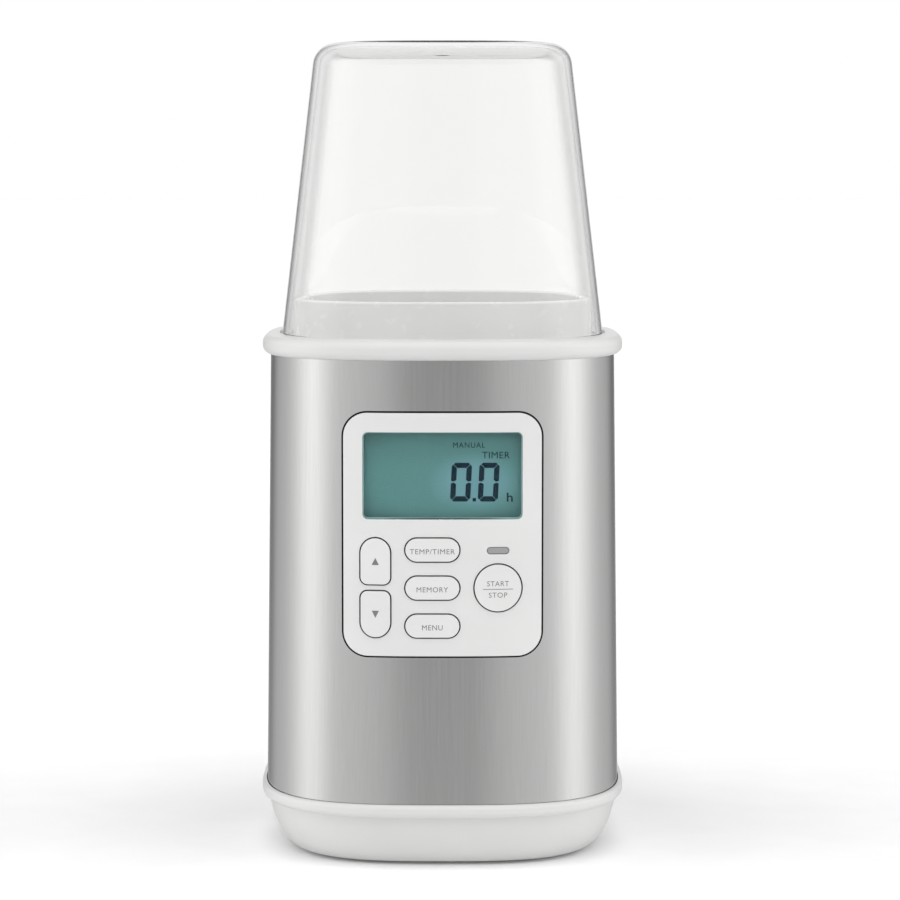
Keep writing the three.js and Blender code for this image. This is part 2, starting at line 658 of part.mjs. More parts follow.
function makeGland() {
  const flangeBack = -frontY(0, ringLowZ, GAP);
  const bowlInner = bowlInside(GLAND_HEIGHT - GLAND_RADIUS) * DEPTH_RATIO - GAP;
  return turned([
    [GLAND_BORE, bowlInner],
    [GLAND_RADIUS, bowlInner],
    [GLAND_RADIUS, flangeBack],
    [GLAND_FLANGE, flangeBack + GAP],
    [GLAND_FLANGE, flangeBack + GLAND_FLANGE_THICK],
    [GLAND_BORE, flangeBack + GLAND_FLANGE_THICK],
  ]);
}

// ---- Control panel ---------------------------------------------------------------------------

// A curved skin that follows the shell's front between two offsets from its face.
function frontSkin(outerOffset, innerOffset) {
  const [low, high] = [panelLowZ - 2 * PANEL_FLANGE, panelTopZ + 2 * PANEL_FLANGE];
  return squared([
    [shellHalf(low) + innerOffset, low],
    [shellHalf(low) + outerOffset, low],
    [shellHalf(high) + outerOffset, high],
    [shellHalf(high) + innerOffset, high],
  ]);
}

const column = (shape, x, z) => frontPrism(shape, x, z, -FAR, 0);

// Each key's name, place and outline; grow widens the outline on every side.
const rowKey = (row) => ({
  x: rowX,
  z: keysTopZ - rowHeight / 2 - row * rowPitch,
  outline: (grow) => roundedShape(rowWidth + 2 * grow, rowHeight + 2 * grow, rowHeight / 2 + grow),
});
const arrowKey = (side) => ({
  x: arrowX,
  z: keysZ + side * (arrowHeight + ARROW_SPLIT) / 2,
  outline: (grow) => archShape(ARROW_WIDTH / 2 + grow, arrowHeight / 2 + grow, ARROW_CORNER + grow, side),
});
const KEYS = {
  up: arrowKey(1),
  down: arrowKey(-1),
  temp_timer: rowKey(0),
  memory: rowKey(1),
  menu: rowKey(2),
  start_stop: {
    x: startX,
    z: keysZ,
    outline: (grow) => roundedShape(2 * (startRadius + grow), 2 * (startRadius + grow), FAR),
  },
};

// A key with one fully round end, on the side that points away from its twin.
function archShape(w, h, corner, side) {
  const r = Math.min(corner, w, h);
  const shape = new THREE.Shape();
  shape.moveTo(-w + r, -h);
  shape.lineTo(w - r, -h);
  shape.absarc(w - r, -h + r, r, -TURN / 4, 0);
  shape.lineTo(w, h - w);
  shape.absarc(0, h - w, w, 0, TURN / 4);
  shape.absarc(0, h - w, w, TURN / 4, TURN / 2);
  shape.lineTo(-w, -h + r);
  shape.absarc(-w + r, -h + r, r, TURN / 2, TURN * 3 / 4);
  if (side > 0) return shape;
  return new THREE.Shape(shape.getPoints(ARC_STEPS).map((p) => new THREE.Vector2(-p.x, -p.y)));
}

const lensShape = (grow) => (
  roundedShape(LENS_WIDTH + 2 * grow, LENS_HEIGHT + 2 * grow, LENS_HEIGHT / 2 + grow));
const windowShape = (grow) => (
  roundedShape(windowWidth + 2 * grow, WINDOW_HEIGHT + 2 * grow, WINDOW_CORNER + grow));

function makePanel() {
  const face = frontSkin(PANEL_PROUD, -PANEL_WALL)
    .intersect(column(roundedShape(PANEL_WIDTH, PANEL_HEIGHT, PANEL_CORNER), 0, panelZ));
  const flangeShape = roundedShape(
    PANEL_WIDTH + 2 * PANEL_FLANGE, PANEL_HEIGHT + 2 * PANEL_FLANGE, PANEL_CORNER + PANEL_FLANGE);
  const flange = frontSkin(-SHELL_WALL - GAP, -PANEL_WALL).intersect(column(flangeShape, 0, panelZ));
  const bosses = boardBossPlaces.map(([x, z]) => {
    const root = frontY(Math.abs(x) + BOARD_BOSS_RADIUS, z, -SHELL_WALL - 2 * GAP);
    return frontPin(BOARD_BOSS_RADIUS, x, z, root, boardFront - GAP);
  });
  const pilots = boardBossPlaces.map(([x, z]) => (
    frontPin(BOARD_SCREW_RADIUS + GAP, x, z, boardFront - BOARD_SCREW_LENGTH, 0)));
  const keyHoles = Object.values(KEYS).map((key) => column(key.outline(SEAM), key.x, key.z));
  const windowHole = column(windowShape(GAP), 0, windowZ);
  const lensHole = column(lensShape(GAP), startX, lensZ);
  return cutBy(joined(face, flange, ...bosses), ...pilots, ...keyHoles, windowHole, lensHole);
}

function makeWindow() {
  return frontPrism(windowShape(0), 0, windowZ, windowFront, windowFront + WINDOW_THICK);
}

function makeKey(key) {
  const flangeFront = -PANEL_WALL - GAP;
  const flangeBack = flangeFront - KEY_FLANGE;
  const cap = frontSkin(KEY_PROUD, flangeBack).intersect(column(key.outline(0), key.x, key.z));
  const flange = frontSkin(flangeFront, flangeBack)
    .intersect(column(key.outline(keyLip), key.x, key.z));
  const stemFront = frontY(key.x, key.z, flangeFront);
  const stem = frontPin(KEY_STEM_RADIUS, key.x, key.z, stemFront, plungerFront - GAP);
  return joined(cap, flange, stem);
}

function makeLens() {
  const back = -PANEL_WALL - GAP - KEY_FLANGE;
  const cap = frontSkin(PANEL_PROUD, back).intersect(column(lensShape(0), startX, lensZ));
  const flange = frontSkin(-PANEL_WALL - GAP, back)
    .intersect(column(lensShape(keyLip), startX, lensZ));
  return joined(cap, flange);
}

// ---- Control board ---------------------------------------------------------------------------

function makeDisplay() {
  const shape = roundedShape(displayWidth, displayHeight, WINDOW_CORNER);
  return frontPrism(shape, 0, windowZ, displayFront, displayBack);
}

function makeHolder() {
  const outerHeight = displayHeight + 2 * (GAP + HOLDER_WALL);
  const outer = roundedShape(holderWidth, outerHeight, HOLDER_WALL);
  const pocket = roundedShape(displayWidth + 2 * GAP, displayHeight + 2 * GAP, WINDOW_CORNER);
  const light = roundedShape(
    displayWidth - 2 * HOLDER_WALL, displayHeight - 2 * HOLDER_WALL, WINDOW_CORNER);
  return cutBy(
    frontPrism(outer, 0, windowZ, displayFront + DISPLAY_THICK / 3, boardFront - GAP),
    frontPrism(pocket, 0, windowZ, -FAR, displayBack + GAP),
    frontPrism(light, 0, windowZ, -FAR, 0),
  );
}

function makeBoard() {
  const shape = roundedShape(PANEL_WIDTH - 2 * BOARD_SIDE_MARGIN, PANEL_HEIGHT, BOARD_CORNER);
  const bores = boardBossPlaces.map(([x, z]) => frontPin(BOARD_SCREW_RADIUS + GAP, x, z, -FAR, 0));
  return cutBy(frontPrism(shape, 0, panelZ, boardFront, boardBack), ...bores);
}

function makeSwitch(key) {
  const back = boardFront - GAP;
  const shape = roundedShape(SWITCH_SIZE, SWITCH_SIZE, SWITCH_CORNER);
  const body = frontPrism(shape, key.x, key.z, switchFront, back);
  const bore = frontPin(PLUNGER_BORE, key.x, key.z, -FAR, back - GAP - SWITCH_FLOOR);
  return body.subtract(bore);
}

function makePlunger(key) {
  const back = boardFront - 3 * GAP - SWITCH_FLOOR - KEY_TRAVEL;
  return frontPin(PLUNGER_RADIUS, key.x, key.z, plungerFront, back);
}

// ---- Heating and power -----------------------------------------------------------------------

function makeBand() {
  return squared([
    [potHalf(bandLowZ) + GAP, bandLowZ],
    [bandOuter(bandLowZ), bandLowZ],
    [bandOuter(bandTopZ), bandTopZ],
    [potHalf(bandTopZ) + GAP, bandTopZ],
  ], potRatio);
}

function makeThermistor() {
  return turned([
    [0, potLowZ - GAP - THERMISTOR_THICK],
    [THERMISTOR_RADIUS * THERMISTOR_NECK, potLowZ - GAP - THERMISTOR_THICK],
    [THERMISTOR_RADIUS * THERMISTOR_NECK, potLowZ - GAP - THERMISTOR_PAD],
    [THERMISTOR_RADIUS, potLowZ - GAP - THERMISTOR_PAD],
    [THERMISTOR_RADIUS, potLowZ - GAP],
    [0, potLowZ - GAP],
  ], SMALL_STEPS);
}

// A round body along X with a stepped cap at each end.
function makeCartridge(radius, length) {
  const [cap, neck] = [length * FUSE_CAP, radius * FUSE_NECK];
  return solidOf(turnedGeometry([
    [0, -length / 2],
    [radius, -length / 2],
    [radius, -length / 2 + cap],
    [neck, -length / 2 + cap],
    [neck, length / 2 - cap],
    [radius, length / 2 - cap],
    [radius, length / 2],
    [0, length / 2],
  ], SMALL_STEPS).rotateY(TURN / 4));
}

function makePowerBoard() {
  const board = block(POWER_BOARD_WIDTH, POWER_BOARD_DEPTH, POWER_BOARD_THICK)
    .translate([0, POWER_BOARD_BACK, (powerLowZ + powerTopZ) / 2]);
  const bores = QUADRANTS.map(([sx, sy]) => uprightPin(
    SCREW_RADIUS,
    sx * (POWER_BOARD_WIDTH / 2 - STANDOFF_INSET),
    sy * (POWER_BOARD_DEPTH / 2 - STANDOFF_INSET) + POWER_BOARD_BACK,
    0, FAR));
  return cutBy(board, ...bores);
}

// A block of [width, depth, height] standing on Z = 0.
const standing = (size) => block(...size).translate([0, 0, size[2] / 2]);

// A laminated core with a wound bobbin through it.
function makeTransformer() {
  const lift = (TRANSFORMER_CORE[2] - TRANSFORMER_WINDING[2]) / 2;
  return standing(TRANSFORMER_CORE).add(standing(TRANSFORMER_WINDING).translate([0, 0, lift]));
}

function makeTerminalBlock() {
  const floor = TERMINAL_SIZE[2] - TERMINAL_PORT_DEPTH;
  const ports = [-1, 0, 1].map((k) => uprightPin(TERMINAL_PORT, 0, k * TERMINAL_PITCH, floor, FAR));
  return cutBy(standing(TERMINAL_SIZE), ...ports);
}

function makeCapacitor() {
  const [r, h, groove] = [CAPACITOR_RADIUS, CAPACITOR_HEIGHT, CAPACITOR_GROOVE];
  return turned([
    [0, 0], [r, 0], [r, 3 * groove], [r - groove, 4 * groove], [r, 5 * groove],
    [r, h - groove], [r - groove, h], [0, h],
  ]);
}

// Down behind the board, under the pot and onto the power board's front edge. The bends between
// are chosen by hand, clear of the pot and the band.
function ribbonPath() {
  const x = POWER_BOARD_WIDTH / 4;
  const y = boardBack + GAP + RIBBON_THICK / 2;
  const edgeY = POWER_BOARD_BACK - POWER_BOARD_DEPTH / 2;
  return [
    [x, y, panelLowZ + 14],
    [x, y, panelLowZ],
    [x, y, potLowZ + 22],
    [x, y + 0.6, potLowZ + 9],
    [x, y + 5, potLowZ - 1.5],
    [x, y + 13, shelfTopZ + 5],
    [x, edgeY - 6, shelfTopZ + 2.6],
    [x, edgeY + 3, powerTopZ + 1.2],
    [x, edgeY + 10, powerTopZ + 1],
  ];
}

function makeRibbon() {
  const [w, t] = [RIBBON_WIDTH / 2, RIBBON_THICK / 2];
  const outline = new THREE.Shape([[-t, -w], [t, -w], [t, w], [-t, w]].map((p) => new THREE.Vector2(...p)));
  return tube(ribbonPath(), outline, RIBBON_STEPS);
}

// Down beside the heater band, under the pot and onto the power board's side, with bends chosen
// by hand.
function leadPath() {
  const y = POWER_BOARD_DEPTH / 4;
  const x = bandOuter(bandLowZ + bandHeight / 4) + GAP + LEAD_RADIUS;
  return [
    [x + 0.2, y, bandLowZ + bandHeight / 4],
    [x + 0.2, y, potLowZ + 10],
    [x + 0.4, y, potLowZ + 2],
    [x - 3.4, y, potLowZ - 4.4],
    [x - 12, y, shelfTopZ + 4.6],
    [POWER_BOARD_WIDTH / 2 + 2, y, shelfTopZ + 1],
    [POWER_BOARD_WIDTH / 2 - 1.6, y, shelfTopZ + 0.2],
  ];
}

function makeLead() {
  const points = Array.from({ length: LEAD_SIDES }, (_, k) => new THREE.Vector2(
    LEAD_RADIUS * Math.cos(k * TURN / LEAD_SIDES), LEAD_RADIUS * Math.sin(k * TURN / LEAD_SIDES)));
  return tube(leadPath(), new THREE.Shape(points), LEAD_STEPS);
}

// ---- Assembly --------------------------------------------------------------------------------

const model = new THREE.Group();

function addPart(name, solid, finish, place = [0, 0, 0], turn = [0, 0, 0]) {
  const mesh = new THREE.Mesh(geometryOf(solid), new THREE.MeshStandardMaterial(FINISH[finish]));
  mesh.name = name;
  mesh.position.set(...place);
  mesh.rotation.set(...turn);
  model.add(mesh);
}

addPart('cover', makeCover(), 'clear');
addPart('top_collar', makeCollar(), 'white');
addPart('outer_shell', makeShell(), 'steel');
addPart('inner_pot', makePot(), 'white');
addPart('base_tub', makeTub(), 'white');
addPart('base_plate', makeBasePlate(), 'white');

const bodyScrew = makeScrew(SCREW_RADIUS, SCREW_HEAD_RADIUS, SCREW_HEAD_THICK, SCREW_LENGTH);
const baseScrew = makeScrew(SCREW_RADIUS, SCREW_HEAD_RADIUS, PLATE_THICK / 2 - GAP, SCREW_LENGTH);
footPlaces.forEach(([x, y], k) => addPart(`foot_${k + 1}`, makeFoot(), 'rubber', [x, y, 0]));
baseScrewPlaces.forEach(([x, y], k) => (
  addPart(`base_screw_${k + 1}`, baseScrew, 'screw', [x, y, plateLowZ + PLATE_THICK / 2 - GAP])));
postPlaces.forEach(([x, y], k) => (
  addPart(`pot_screw_${k + 1}`, bodyScrew, 'screw', [x, y, shelfLowZ - GAP])));

addPart('control_panel', makePanel(), 'white');
addPart('display_window', makeWindow(), 'window');
addPart('lcd_glass', makeDisplay(), 'display');
addPart('lcd_holder', makeHolder(), 'white');
addPart('indicator_lens', makeLens(), 'lens');
addPart('indicator_led', block(LED_WIDTH, LED_THICK, LED_THICK), 'amber',
  [startX, boardFront - GAP - LED_THICK / 2, lensZ]);
addPart('control_board', makeBoard(), 'board');
addPart('microcontroller', block(CHIP_SIZE, CHIP_THICK, CHIP_SIZE), 'black',
  [rowX, boardBack + GAP + CHIP_THICK / 2, keysTopZ]);
for (const [name, key] of Object.entries(KEYS)) {
  addPart(`${name}_button`, makeKey(key), 'key');
  addPart(`${name}_switch`, makeSwitch(key), 'black');
  addPart(`${name}_plunger`, makePlunger(key), 'red');
}
const boardScrew = makeScrew(
  BOARD_SCREW_RADIUS, BOARD_SCREW_HEAD_RADIUS, BOARD_SCREW_HEAD_THICK, BOARD_SCREW_LENGTH);
boardBossPlaces.forEach(([x, z], k) => (
  addPart(`board_screw_${k + 1}`, boardScrew, 'screw', [x, boardBack + GAP, z], [TURN / 4, 0, 0])));
addPart('board_cable', makeRibbon(), 'cable');

addPart('heater_band', makeBand(), 'foil');
addPart('heater_lead', makeLead(), 'red');
addPart('thermistor', makeThermistor(), 'amber');
const fuseZ = bandLowZ + bandHeight / 2;
addPart('thermal_fuse', makeCartridge(FUSE_RADIUS, FUSE_LENGTH), 'glass',
  [0, bandOuter(fuseZ) + 2 * GAP + FUSE_RADIUS, fuseZ]);

const onBoard = powerTopZ + GAP;
addPart('power_board', makePowerBoard(), 'board');
addPart('transformer', makeTransformer(), 'black', [...TRANSFORMER_PLACE, onBoard]);
addPart('relay', standing(RELAY_SIZE), 'white', [...RELAY_PLACE, onBoard]);
addPart('terminal_block', makeTerminalBlock(), 'white', [...TERMINAL_PLACE, onBoard]);
addPart('capacitor', makeCapacitor(), 'black', [...CAPACITOR_PLACE, onBoard]);
addPart('mains_fuse', makeCartridge(MAINS_FUSE_RADIUS, MAINS_FUSE_LENGTH), 'glass',
  [...MAINS_FUSE_PLACE, onBoard + MAINS_FUSE_RADIUS]);
addPart('cord_gland', makeGland(), 'black', [0, 0, GLAND_HEIGHT], [-TURN / 4, 0, 0]);

export default model;
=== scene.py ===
import json
import math

import bmesh
import bpy
from mathutils import Matrix, Vector


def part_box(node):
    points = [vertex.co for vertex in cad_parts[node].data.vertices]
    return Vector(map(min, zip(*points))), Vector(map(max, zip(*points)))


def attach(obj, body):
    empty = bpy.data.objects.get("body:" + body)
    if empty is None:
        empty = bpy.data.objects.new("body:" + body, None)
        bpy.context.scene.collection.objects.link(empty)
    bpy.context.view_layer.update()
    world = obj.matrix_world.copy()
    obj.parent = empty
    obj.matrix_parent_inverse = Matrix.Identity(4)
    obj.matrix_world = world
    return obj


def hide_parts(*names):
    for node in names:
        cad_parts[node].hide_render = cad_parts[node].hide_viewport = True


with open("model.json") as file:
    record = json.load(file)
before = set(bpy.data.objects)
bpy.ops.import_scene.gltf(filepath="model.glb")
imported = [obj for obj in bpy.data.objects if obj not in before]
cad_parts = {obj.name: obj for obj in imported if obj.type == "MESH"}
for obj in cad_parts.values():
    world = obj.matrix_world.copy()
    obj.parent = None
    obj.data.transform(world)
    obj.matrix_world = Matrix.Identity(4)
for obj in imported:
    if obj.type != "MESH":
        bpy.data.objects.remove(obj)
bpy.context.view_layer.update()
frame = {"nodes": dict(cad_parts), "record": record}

MM = 0.001
NODES = frame["nodes"]

# ---- Sizes: from the frame's boxes, with the few shape values that a box can't give ----------

SQUARENESS = 3.0          # exponent of the rounded-square sections
DEPTH_RATIO = 1.05        # depth of an outer section over its width
SHELL_LEAN = 1.8 / 147.6  # how fast a side of the shell leans in, per unit of height
SHELL_WALL = 0.6 * MM
SHELL_TUCK = 1.4 * MM     # how far the shell's edges go into the collar and the base
GAP = 0.3 * MM
EDGE = 0.3 * MM           # fillet on a moulded edge
FINE_EDGE = 0.2 * MM
SHARP_ANGLE = 40          # degrees between faces that stay crisp
RING_STEPS = 144
ROUND_STEPS = 48
SMALL_STEPS = 24

shell_low, shell_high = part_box("outer_shell")
cover_low, cover_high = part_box("cover")
collar_low, collar_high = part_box("top_collar")
pot_low, pot_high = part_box("inner_pot")
tub_low, tub_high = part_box("base_tub")
panel_low, panel_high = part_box("control_panel")
window_low, window_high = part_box("display_window")
plate_low, plate_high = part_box("base_plate")

base_top = shell_low.z + SHELL_TUCK
shell_top = shell_high.z - SHELL_TUCK


def shell_half(z):
    return shell_high.x - SHELL_LEAN * (z - shell_low.z)


def front_y(x, z, offset=0.0):
    """Y of the shell's front at x and z, moved out by offset."""
    half = shell_half(z) + offset
    return -DEPTH_RATIO * half * (1 - abs(x / half) ** SQUARENESS) ** (1 / SQUARENESS)


# ---- Mesh helpers ----------------------------------------------------------------------------

def link(name, mesh, *materials):
    piece = bpy.data.objects.new(name, mesh)
    bpy.context.scene.collection.objects.link(piece)
    for material in materials:
        mesh.materials.append(material)
    return piece


def even_normals(piece):
    """Keeps the shading of large faces flat where they meet small fillets."""
    weighted = piece.modifiers.new("normals", 'WEIGHTED_NORMAL')
    weighted.keep_sharp = True
    return piece


def finish_mesh(bm, name):
    bmesh.ops.recalc_face_normals(bm, faces=bm.faces)
    mesh = bpy.data.meshes.new(name)
    bm.to_mesh(mesh)
    bm.free()
    mesh.shade_smooth()
    mesh.set_sharp_from_angle(angle=math.radians(SHARP_ANGLE))
    return mesh


def rounded(corners, steps=6):
    """An outline through (half, z, radius) corners, each with radius turned into an arc."""
    outline = []
    for k, (half, z, radius) in enumerate(corners):
        here = Vector((half, z))
        if radius == 0:
            outline.append(here)
            continue
        to_last = (Vector(corners[k - 1][:2]) - here).normalized()
        to_next = (Vector(corners[(k + 1) % len(corners)][:2]) - here).normalized()
        turn = to_last.angle(to_next)
        centre = here + (to_last + to_next).normalized() * radius / math.sin(turn / 2)
        start = here + to_last * radius / math.tan(turn / 2) - centre
        end = here + to_next * radius / math.tan(turn / 2) - centre
        first = math.atan2(start.y, start.x)
        sweep = math.remainder(math.atan2(end.y, end.x) - first, math.tau)
        for i in range(steps + 1):
            angle = first + sweep * i / steps
            outline.append(centre + radius * Vector((math.cos(angle), math.sin(angle))))
    return outline


def section(half, ratio, exponent, steps):
    for k in range(steps):
        across, deep = math.cos(math.tau * k / steps), math.sin(math.tau * k / steps)
        reach = half * (abs(across) ** exponent + abs(deep) ** exponent) ** (-1 / exponent)
        yield reach * across, reach * deep * ratio


def turned(name, outline, ratio_at=lambda z: DEPTH_RATIO, exponent_at=lambda half: SQUARENESS,
           steps=RING_STEPS, closed=False):
    """A mesh turned from (half, z) points with rounded-square sections."""
    bm = bmesh.new()
    rows = []
    for half, z in outline:
        if half < 1e-6:
            rows.append([bm.verts.new((0, 0, z))])
        else:
            ring = section(half, ratio_at(z), exponent_at(half), steps)
            rows.append([bm.verts.new((x, y, z)) for x, y in ring])
    pairs = list(zip(rows, rows[1:]))
    if closed:
        pairs.append((rows[-1], rows[0]))
    for low, high in pairs:
        for k in range(steps):
            n = (k + 1) % steps
            if len(low) == 1:
                bm.faces.new((low[0], high[k], high[n]))
            elif len(high) == 1:
                bm.faces.new((low[k], low[n], high[0]))
            else:
                bm.faces.new((low[k], low[n], high[n], high[k]))
    return finish_mesh(bm, name)


def arc(x, z, radius, start, end, steps=8):
    return [(x + radius * math.cos(math.radians(start + (end - start) * k / steps)),
             z + radius * math.sin(math.radians(start + (end - start) * k / steps)))
            for k in range(steps + 1)]


def rounded_box(width, height, radius, steps=8):
    w, h = width / 2, height / 2
    r = min(radius, w, h)
    corners = [(w, -h, -90), (w, h, 0), (-w, h, 90), (-w, -h, 180)]
    points = []
    for x, z, start in corners:
        points += arc(x - math.copysign(r, x), z - math.copysign(r, z), r, start, start + 90, steps)
    return tidy_outline(points)


def tidy_outline(points):
    """The outline without points that fall on the one before."""
    return [p for k, p in enumerate(points) if math.dist(p, points[k - 1]) > 1e-6]


def arch(width, height, corner, side):
    """A box whose far end, up or down by side, is fully round."""
    w, h = width / 2, height / 2
    points = arc(w - corner, -h + corner, corner, -90, 0) + arc(0, h - w, w, 0, 180, 20)
    points += arc(-w + corner, -h + corner, corner, 180, 270)
    if side < 0:
        points = [(-x, -z) for x, z in points]
    return tidy_outline(points)


def prism(name, outline, x, z, front, back):
    """An (x, z) outline extruded along Y from front to back."""
    bm = bmesh.new()
    near = [bm.verts.new((x + px, front, z + pz)) for px, pz in outline]
    far = [bm.verts.new((x + px, back, z + pz)) for px, pz in outline]
    bm.faces.new(near)
    bm.faces.new(reversed(far))
    for k in range(len(outline)):
        n = (k + 1) % len(outline)
        bm.faces.new((near[k], far[k], far[n], near[n]))
    return link(name, finish_mesh(bm, name))


def skin(name, x_low, x_high, z_low, z_high, outer, inner, columns=40):
    """A closed curved plate that follows the shell's front between two offsets."""
    bm = bmesh.new()
    rows = []
    corners = ((outer, z_low), (outer, z_high), (inner, z_high), (inner, z_low))
    for k in range(columns + 1):
        x = x_low + (x_high - x_low) * k / columns
        rows.append([bm.verts.new((x, front_y(x, z, offset), z)) for offset, z in corners])
    for left, right in zip(rows, rows[1:]):
        for k in range(4):
            n = (k + 1) % 4
            bm.faces.new((left[k], right[k], right[n], left[n]))
    bm.faces.new(rows[0])
    bm.faces.new(reversed(rows[-1]))
    return link(name, finish_mesh(bm, name))


def rod(name, place, length, radius, top_radius=None, segments=SMALL_STEPS, along_y=False):
    """A round bar or a slight cone, upright or along Y, with its middle at place."""
    bm = bmesh.new()
    bmesh.ops.create_cone(bm, segments=segments, cap_ends=True, radius1=radius,
                          radius2=radius if top_radius is None else top_radius, depth=length)
    if along_y:
        bmesh.ops.rotate(bm, verts=bm.verts, matrix=Matrix.Rotation(math.radians(90), 3, 'X'))
    bmesh.ops.translate(bm, verts=bm.verts, vec=place)
    return link(name, finish_mesh(bm, name))


def combine(target, operation, *tools):
    """Applies an exact boolean and removes the tools."""
    for tool in tools:
        modifier = target.modifiers.new("combine", 'BOOLEAN')
        modifier.operation = operation
        modifier.object = tool
        modifier.solver = 'EXACT'
        graph = bpy.context.evaluated_depsgraph_get()
        mesh = bpy.data.meshes.new_from_object(target.evaluated_get(graph))
        target.modifiers.clear()
        target.data = mesh
        bpy.data.objects.remove(tool)
    mesh = target.data
    mesh.shade_smooth()
    mesh.set_sharp_from_angle(angle=math.radians(SHARP_ANGLE))
    return target


def soften(piece, width, segments=3, angle=SHARP_ANGLE, finish=0):
    """Rounds the piece's sharp edges, which take the material with index finish."""
    bevel = piece.modifiers.new("edges", 'BEVEL')
    bevel.width = width
    bevel.segments = segments
    bevel.limit_method = 'ANGLE'
    bevel.angle_limit = math.radians(angle)
    bevel.harden_normals = False
    bevel.material = finish
    return even_normals(piece)


def paint(piece, *materials):
    """Replaces the piece's materials."""
    piece.data.materials.clear()
    for material in materials:
        piece.data.materials.append(material)


def dress(piece, body, slot, *nodes):
    """The piece rides on a body and stands for CAD nodes, which it hides; slot is not used."""
    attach(piece, body)
    if nodes:
        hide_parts(*nodes)
    return piece


# ---- Materials -------------------------------------------------------------------------------

class Shader:
    """A material's node tree with short calls for the nodes used here."""

    def __init__(self, name, **constants):
        self.material = bpy.data.materials.new(name)
        self.material.use_nodes = True
        self.tree = self.material.node_tree
        self.surface = self.tree.nodes["Principled BSDF"]
        for socket, value in constants.items():
            self.surface.inputs[socket.replace("_", " ")].default_value = value
        self.place = self.tree.nodes.new("ShaderNodeTexCoord").outputs["Object"]

    def feed(self, socket, output):
        self.tree.links.new(output, self.surface.inputs[socket])

    def noise(self, scale, stretch=(1, 1, 1), detail=3.0, rough=0.5):
        mapping = self.tree.nodes.new("ShaderNodeMapping")
        mapping.inputs["Scale"].default_value = stretch
        self.tree.links.new(self.place, mapping.inputs["Vector"])
        noise = self.tree.nodes.new("ShaderNodeTexNoise")
        noise.inputs["Scale"].default_value = scale
        noise.inputs["Detail"].default_value = detail
        noise.inputs["Roughness"].default_value = rough
        self.tree.links.new(mapping.outputs["Vector"], noise.inputs["Vector"])
        return noise.outputs["Fac"]

    def remap(self, output, low, high, start=0.3, end=0.7):
        node = self.tree.nodes.new("ShaderNodeMapRange")
        values = {"From Min": start, "From Max": end, "To Min": low, "To Max": high}
        for socket, value in values.items():
            node.inputs[socket].default_value = value
        self.tree.links.new(output, node.inputs["Value"])
        return node.outputs["Result"]

    def ramp(self, output, *stops):
        node = self.tree.nodes.new("ShaderNodeValToRGB")
        points = node.color_ramp.elements
        while len(points) < len(stops):
            points.new(0.5)
        for point, (position, colour) in zip(points, stops):
            point.position = position
            point.color = (*colour, 1)
        self.tree.links.new(output, node.inputs["Fac"])
        return node.outputs["Color"]

    def glow(self, middle, across, up):
        """1 at the middle, falling to 0 at an ellipse of half-widths across and up."""
        mapping = self.tree.nodes.new("ShaderNodeMapping")
        mapping.inputs["Location"].default_value = (-middle.x / across, 0, -middle.z / up)
        mapping.inputs["Scale"].default_value = (1 / across, 0, 1 / up)
        self.tree.links.new(self.place, mapping.inputs["Vector"])
        gradient = self.tree.nodes.new("ShaderNodeTexGradient")
        gradient.gradient_type = 'SPHERICAL'
        self.tree.links.new(mapping.outputs["Vector"], gradient.inputs["Vector"])
        return gradient.outputs["Fac"]

    def product(self, first, second):
        node = self.tree.nodes.new("ShaderNodeMix")
        node.data_type = 'RGBA'
        node.blend_type = 'MULTIPLY'
        node.inputs["Factor"].default_value = 1
        self.tree.links.new(first, node.inputs["A"])
        self.tree.links.new(second, node.inputs["B"])
        return node.outputs["Result"]

    def bump(self, output, distance, strength=1.0):
        node = self.tree.nodes.new("ShaderNodeBump")
        node.inputs["Distance"].default_value = distance
        node.inputs["Strength"].default_value = strength
        self.tree.links.new(output, node.inputs["Height"])
        last = self.surface.inputs["Normal"]
        if last.is_linked:
            self.tree.links.new(last.links[0].from_socket, node.inputs["Normal"])
        self.tree.links.new(node.outputs["Normal"], last)


def shade(colour, amount):
    return tuple(min(1.0, channel * amount) for channel in colour)


def moulded(name, colour, roughness, grain=0.004 * MM, spread=0.015, **constants):
    """Injection-moulded plastic: faint clouding, a fine texture and uneven gloss."""
    look = Shader(name, **constants)
    cloud = look.noise(35, detail=2)
    look.feed("Base Color", look.ramp(cloud, (0.3, shade(colour, 1 - spread)),
                                      (0.7, shade(colour, 1 + spread))))
    look.feed("Roughness", look.remap(look.noise(220), roughness - 0.04, roughness + 0.04))
    look.bump(look.noise(2600, detail=2), grain)
    return look.material


def brushed(name, colour, roughness):
    """Stainless steel with fine upright hairlines."""
    look = Shader(name, Metallic=1.0, Anisotropic=0.35)
    hairline = look.noise(1, stretch=(5200, 5200, 26), detail=4, rough=0.65)
    streak = look.noise(1, stretch=(900, 900, 7), detail=3)
    look.feed("Base Color", look.ramp(hairline, (0.3, shade(colour, 0.965)),
                                      (0.7, shade(colour, 1.035))))
    look.feed("Roughness", look.remap(streak, roughness - 0.025, roughness + 0.025))
    look.bump(hairline, 0.0012 * MM)
    return look.material


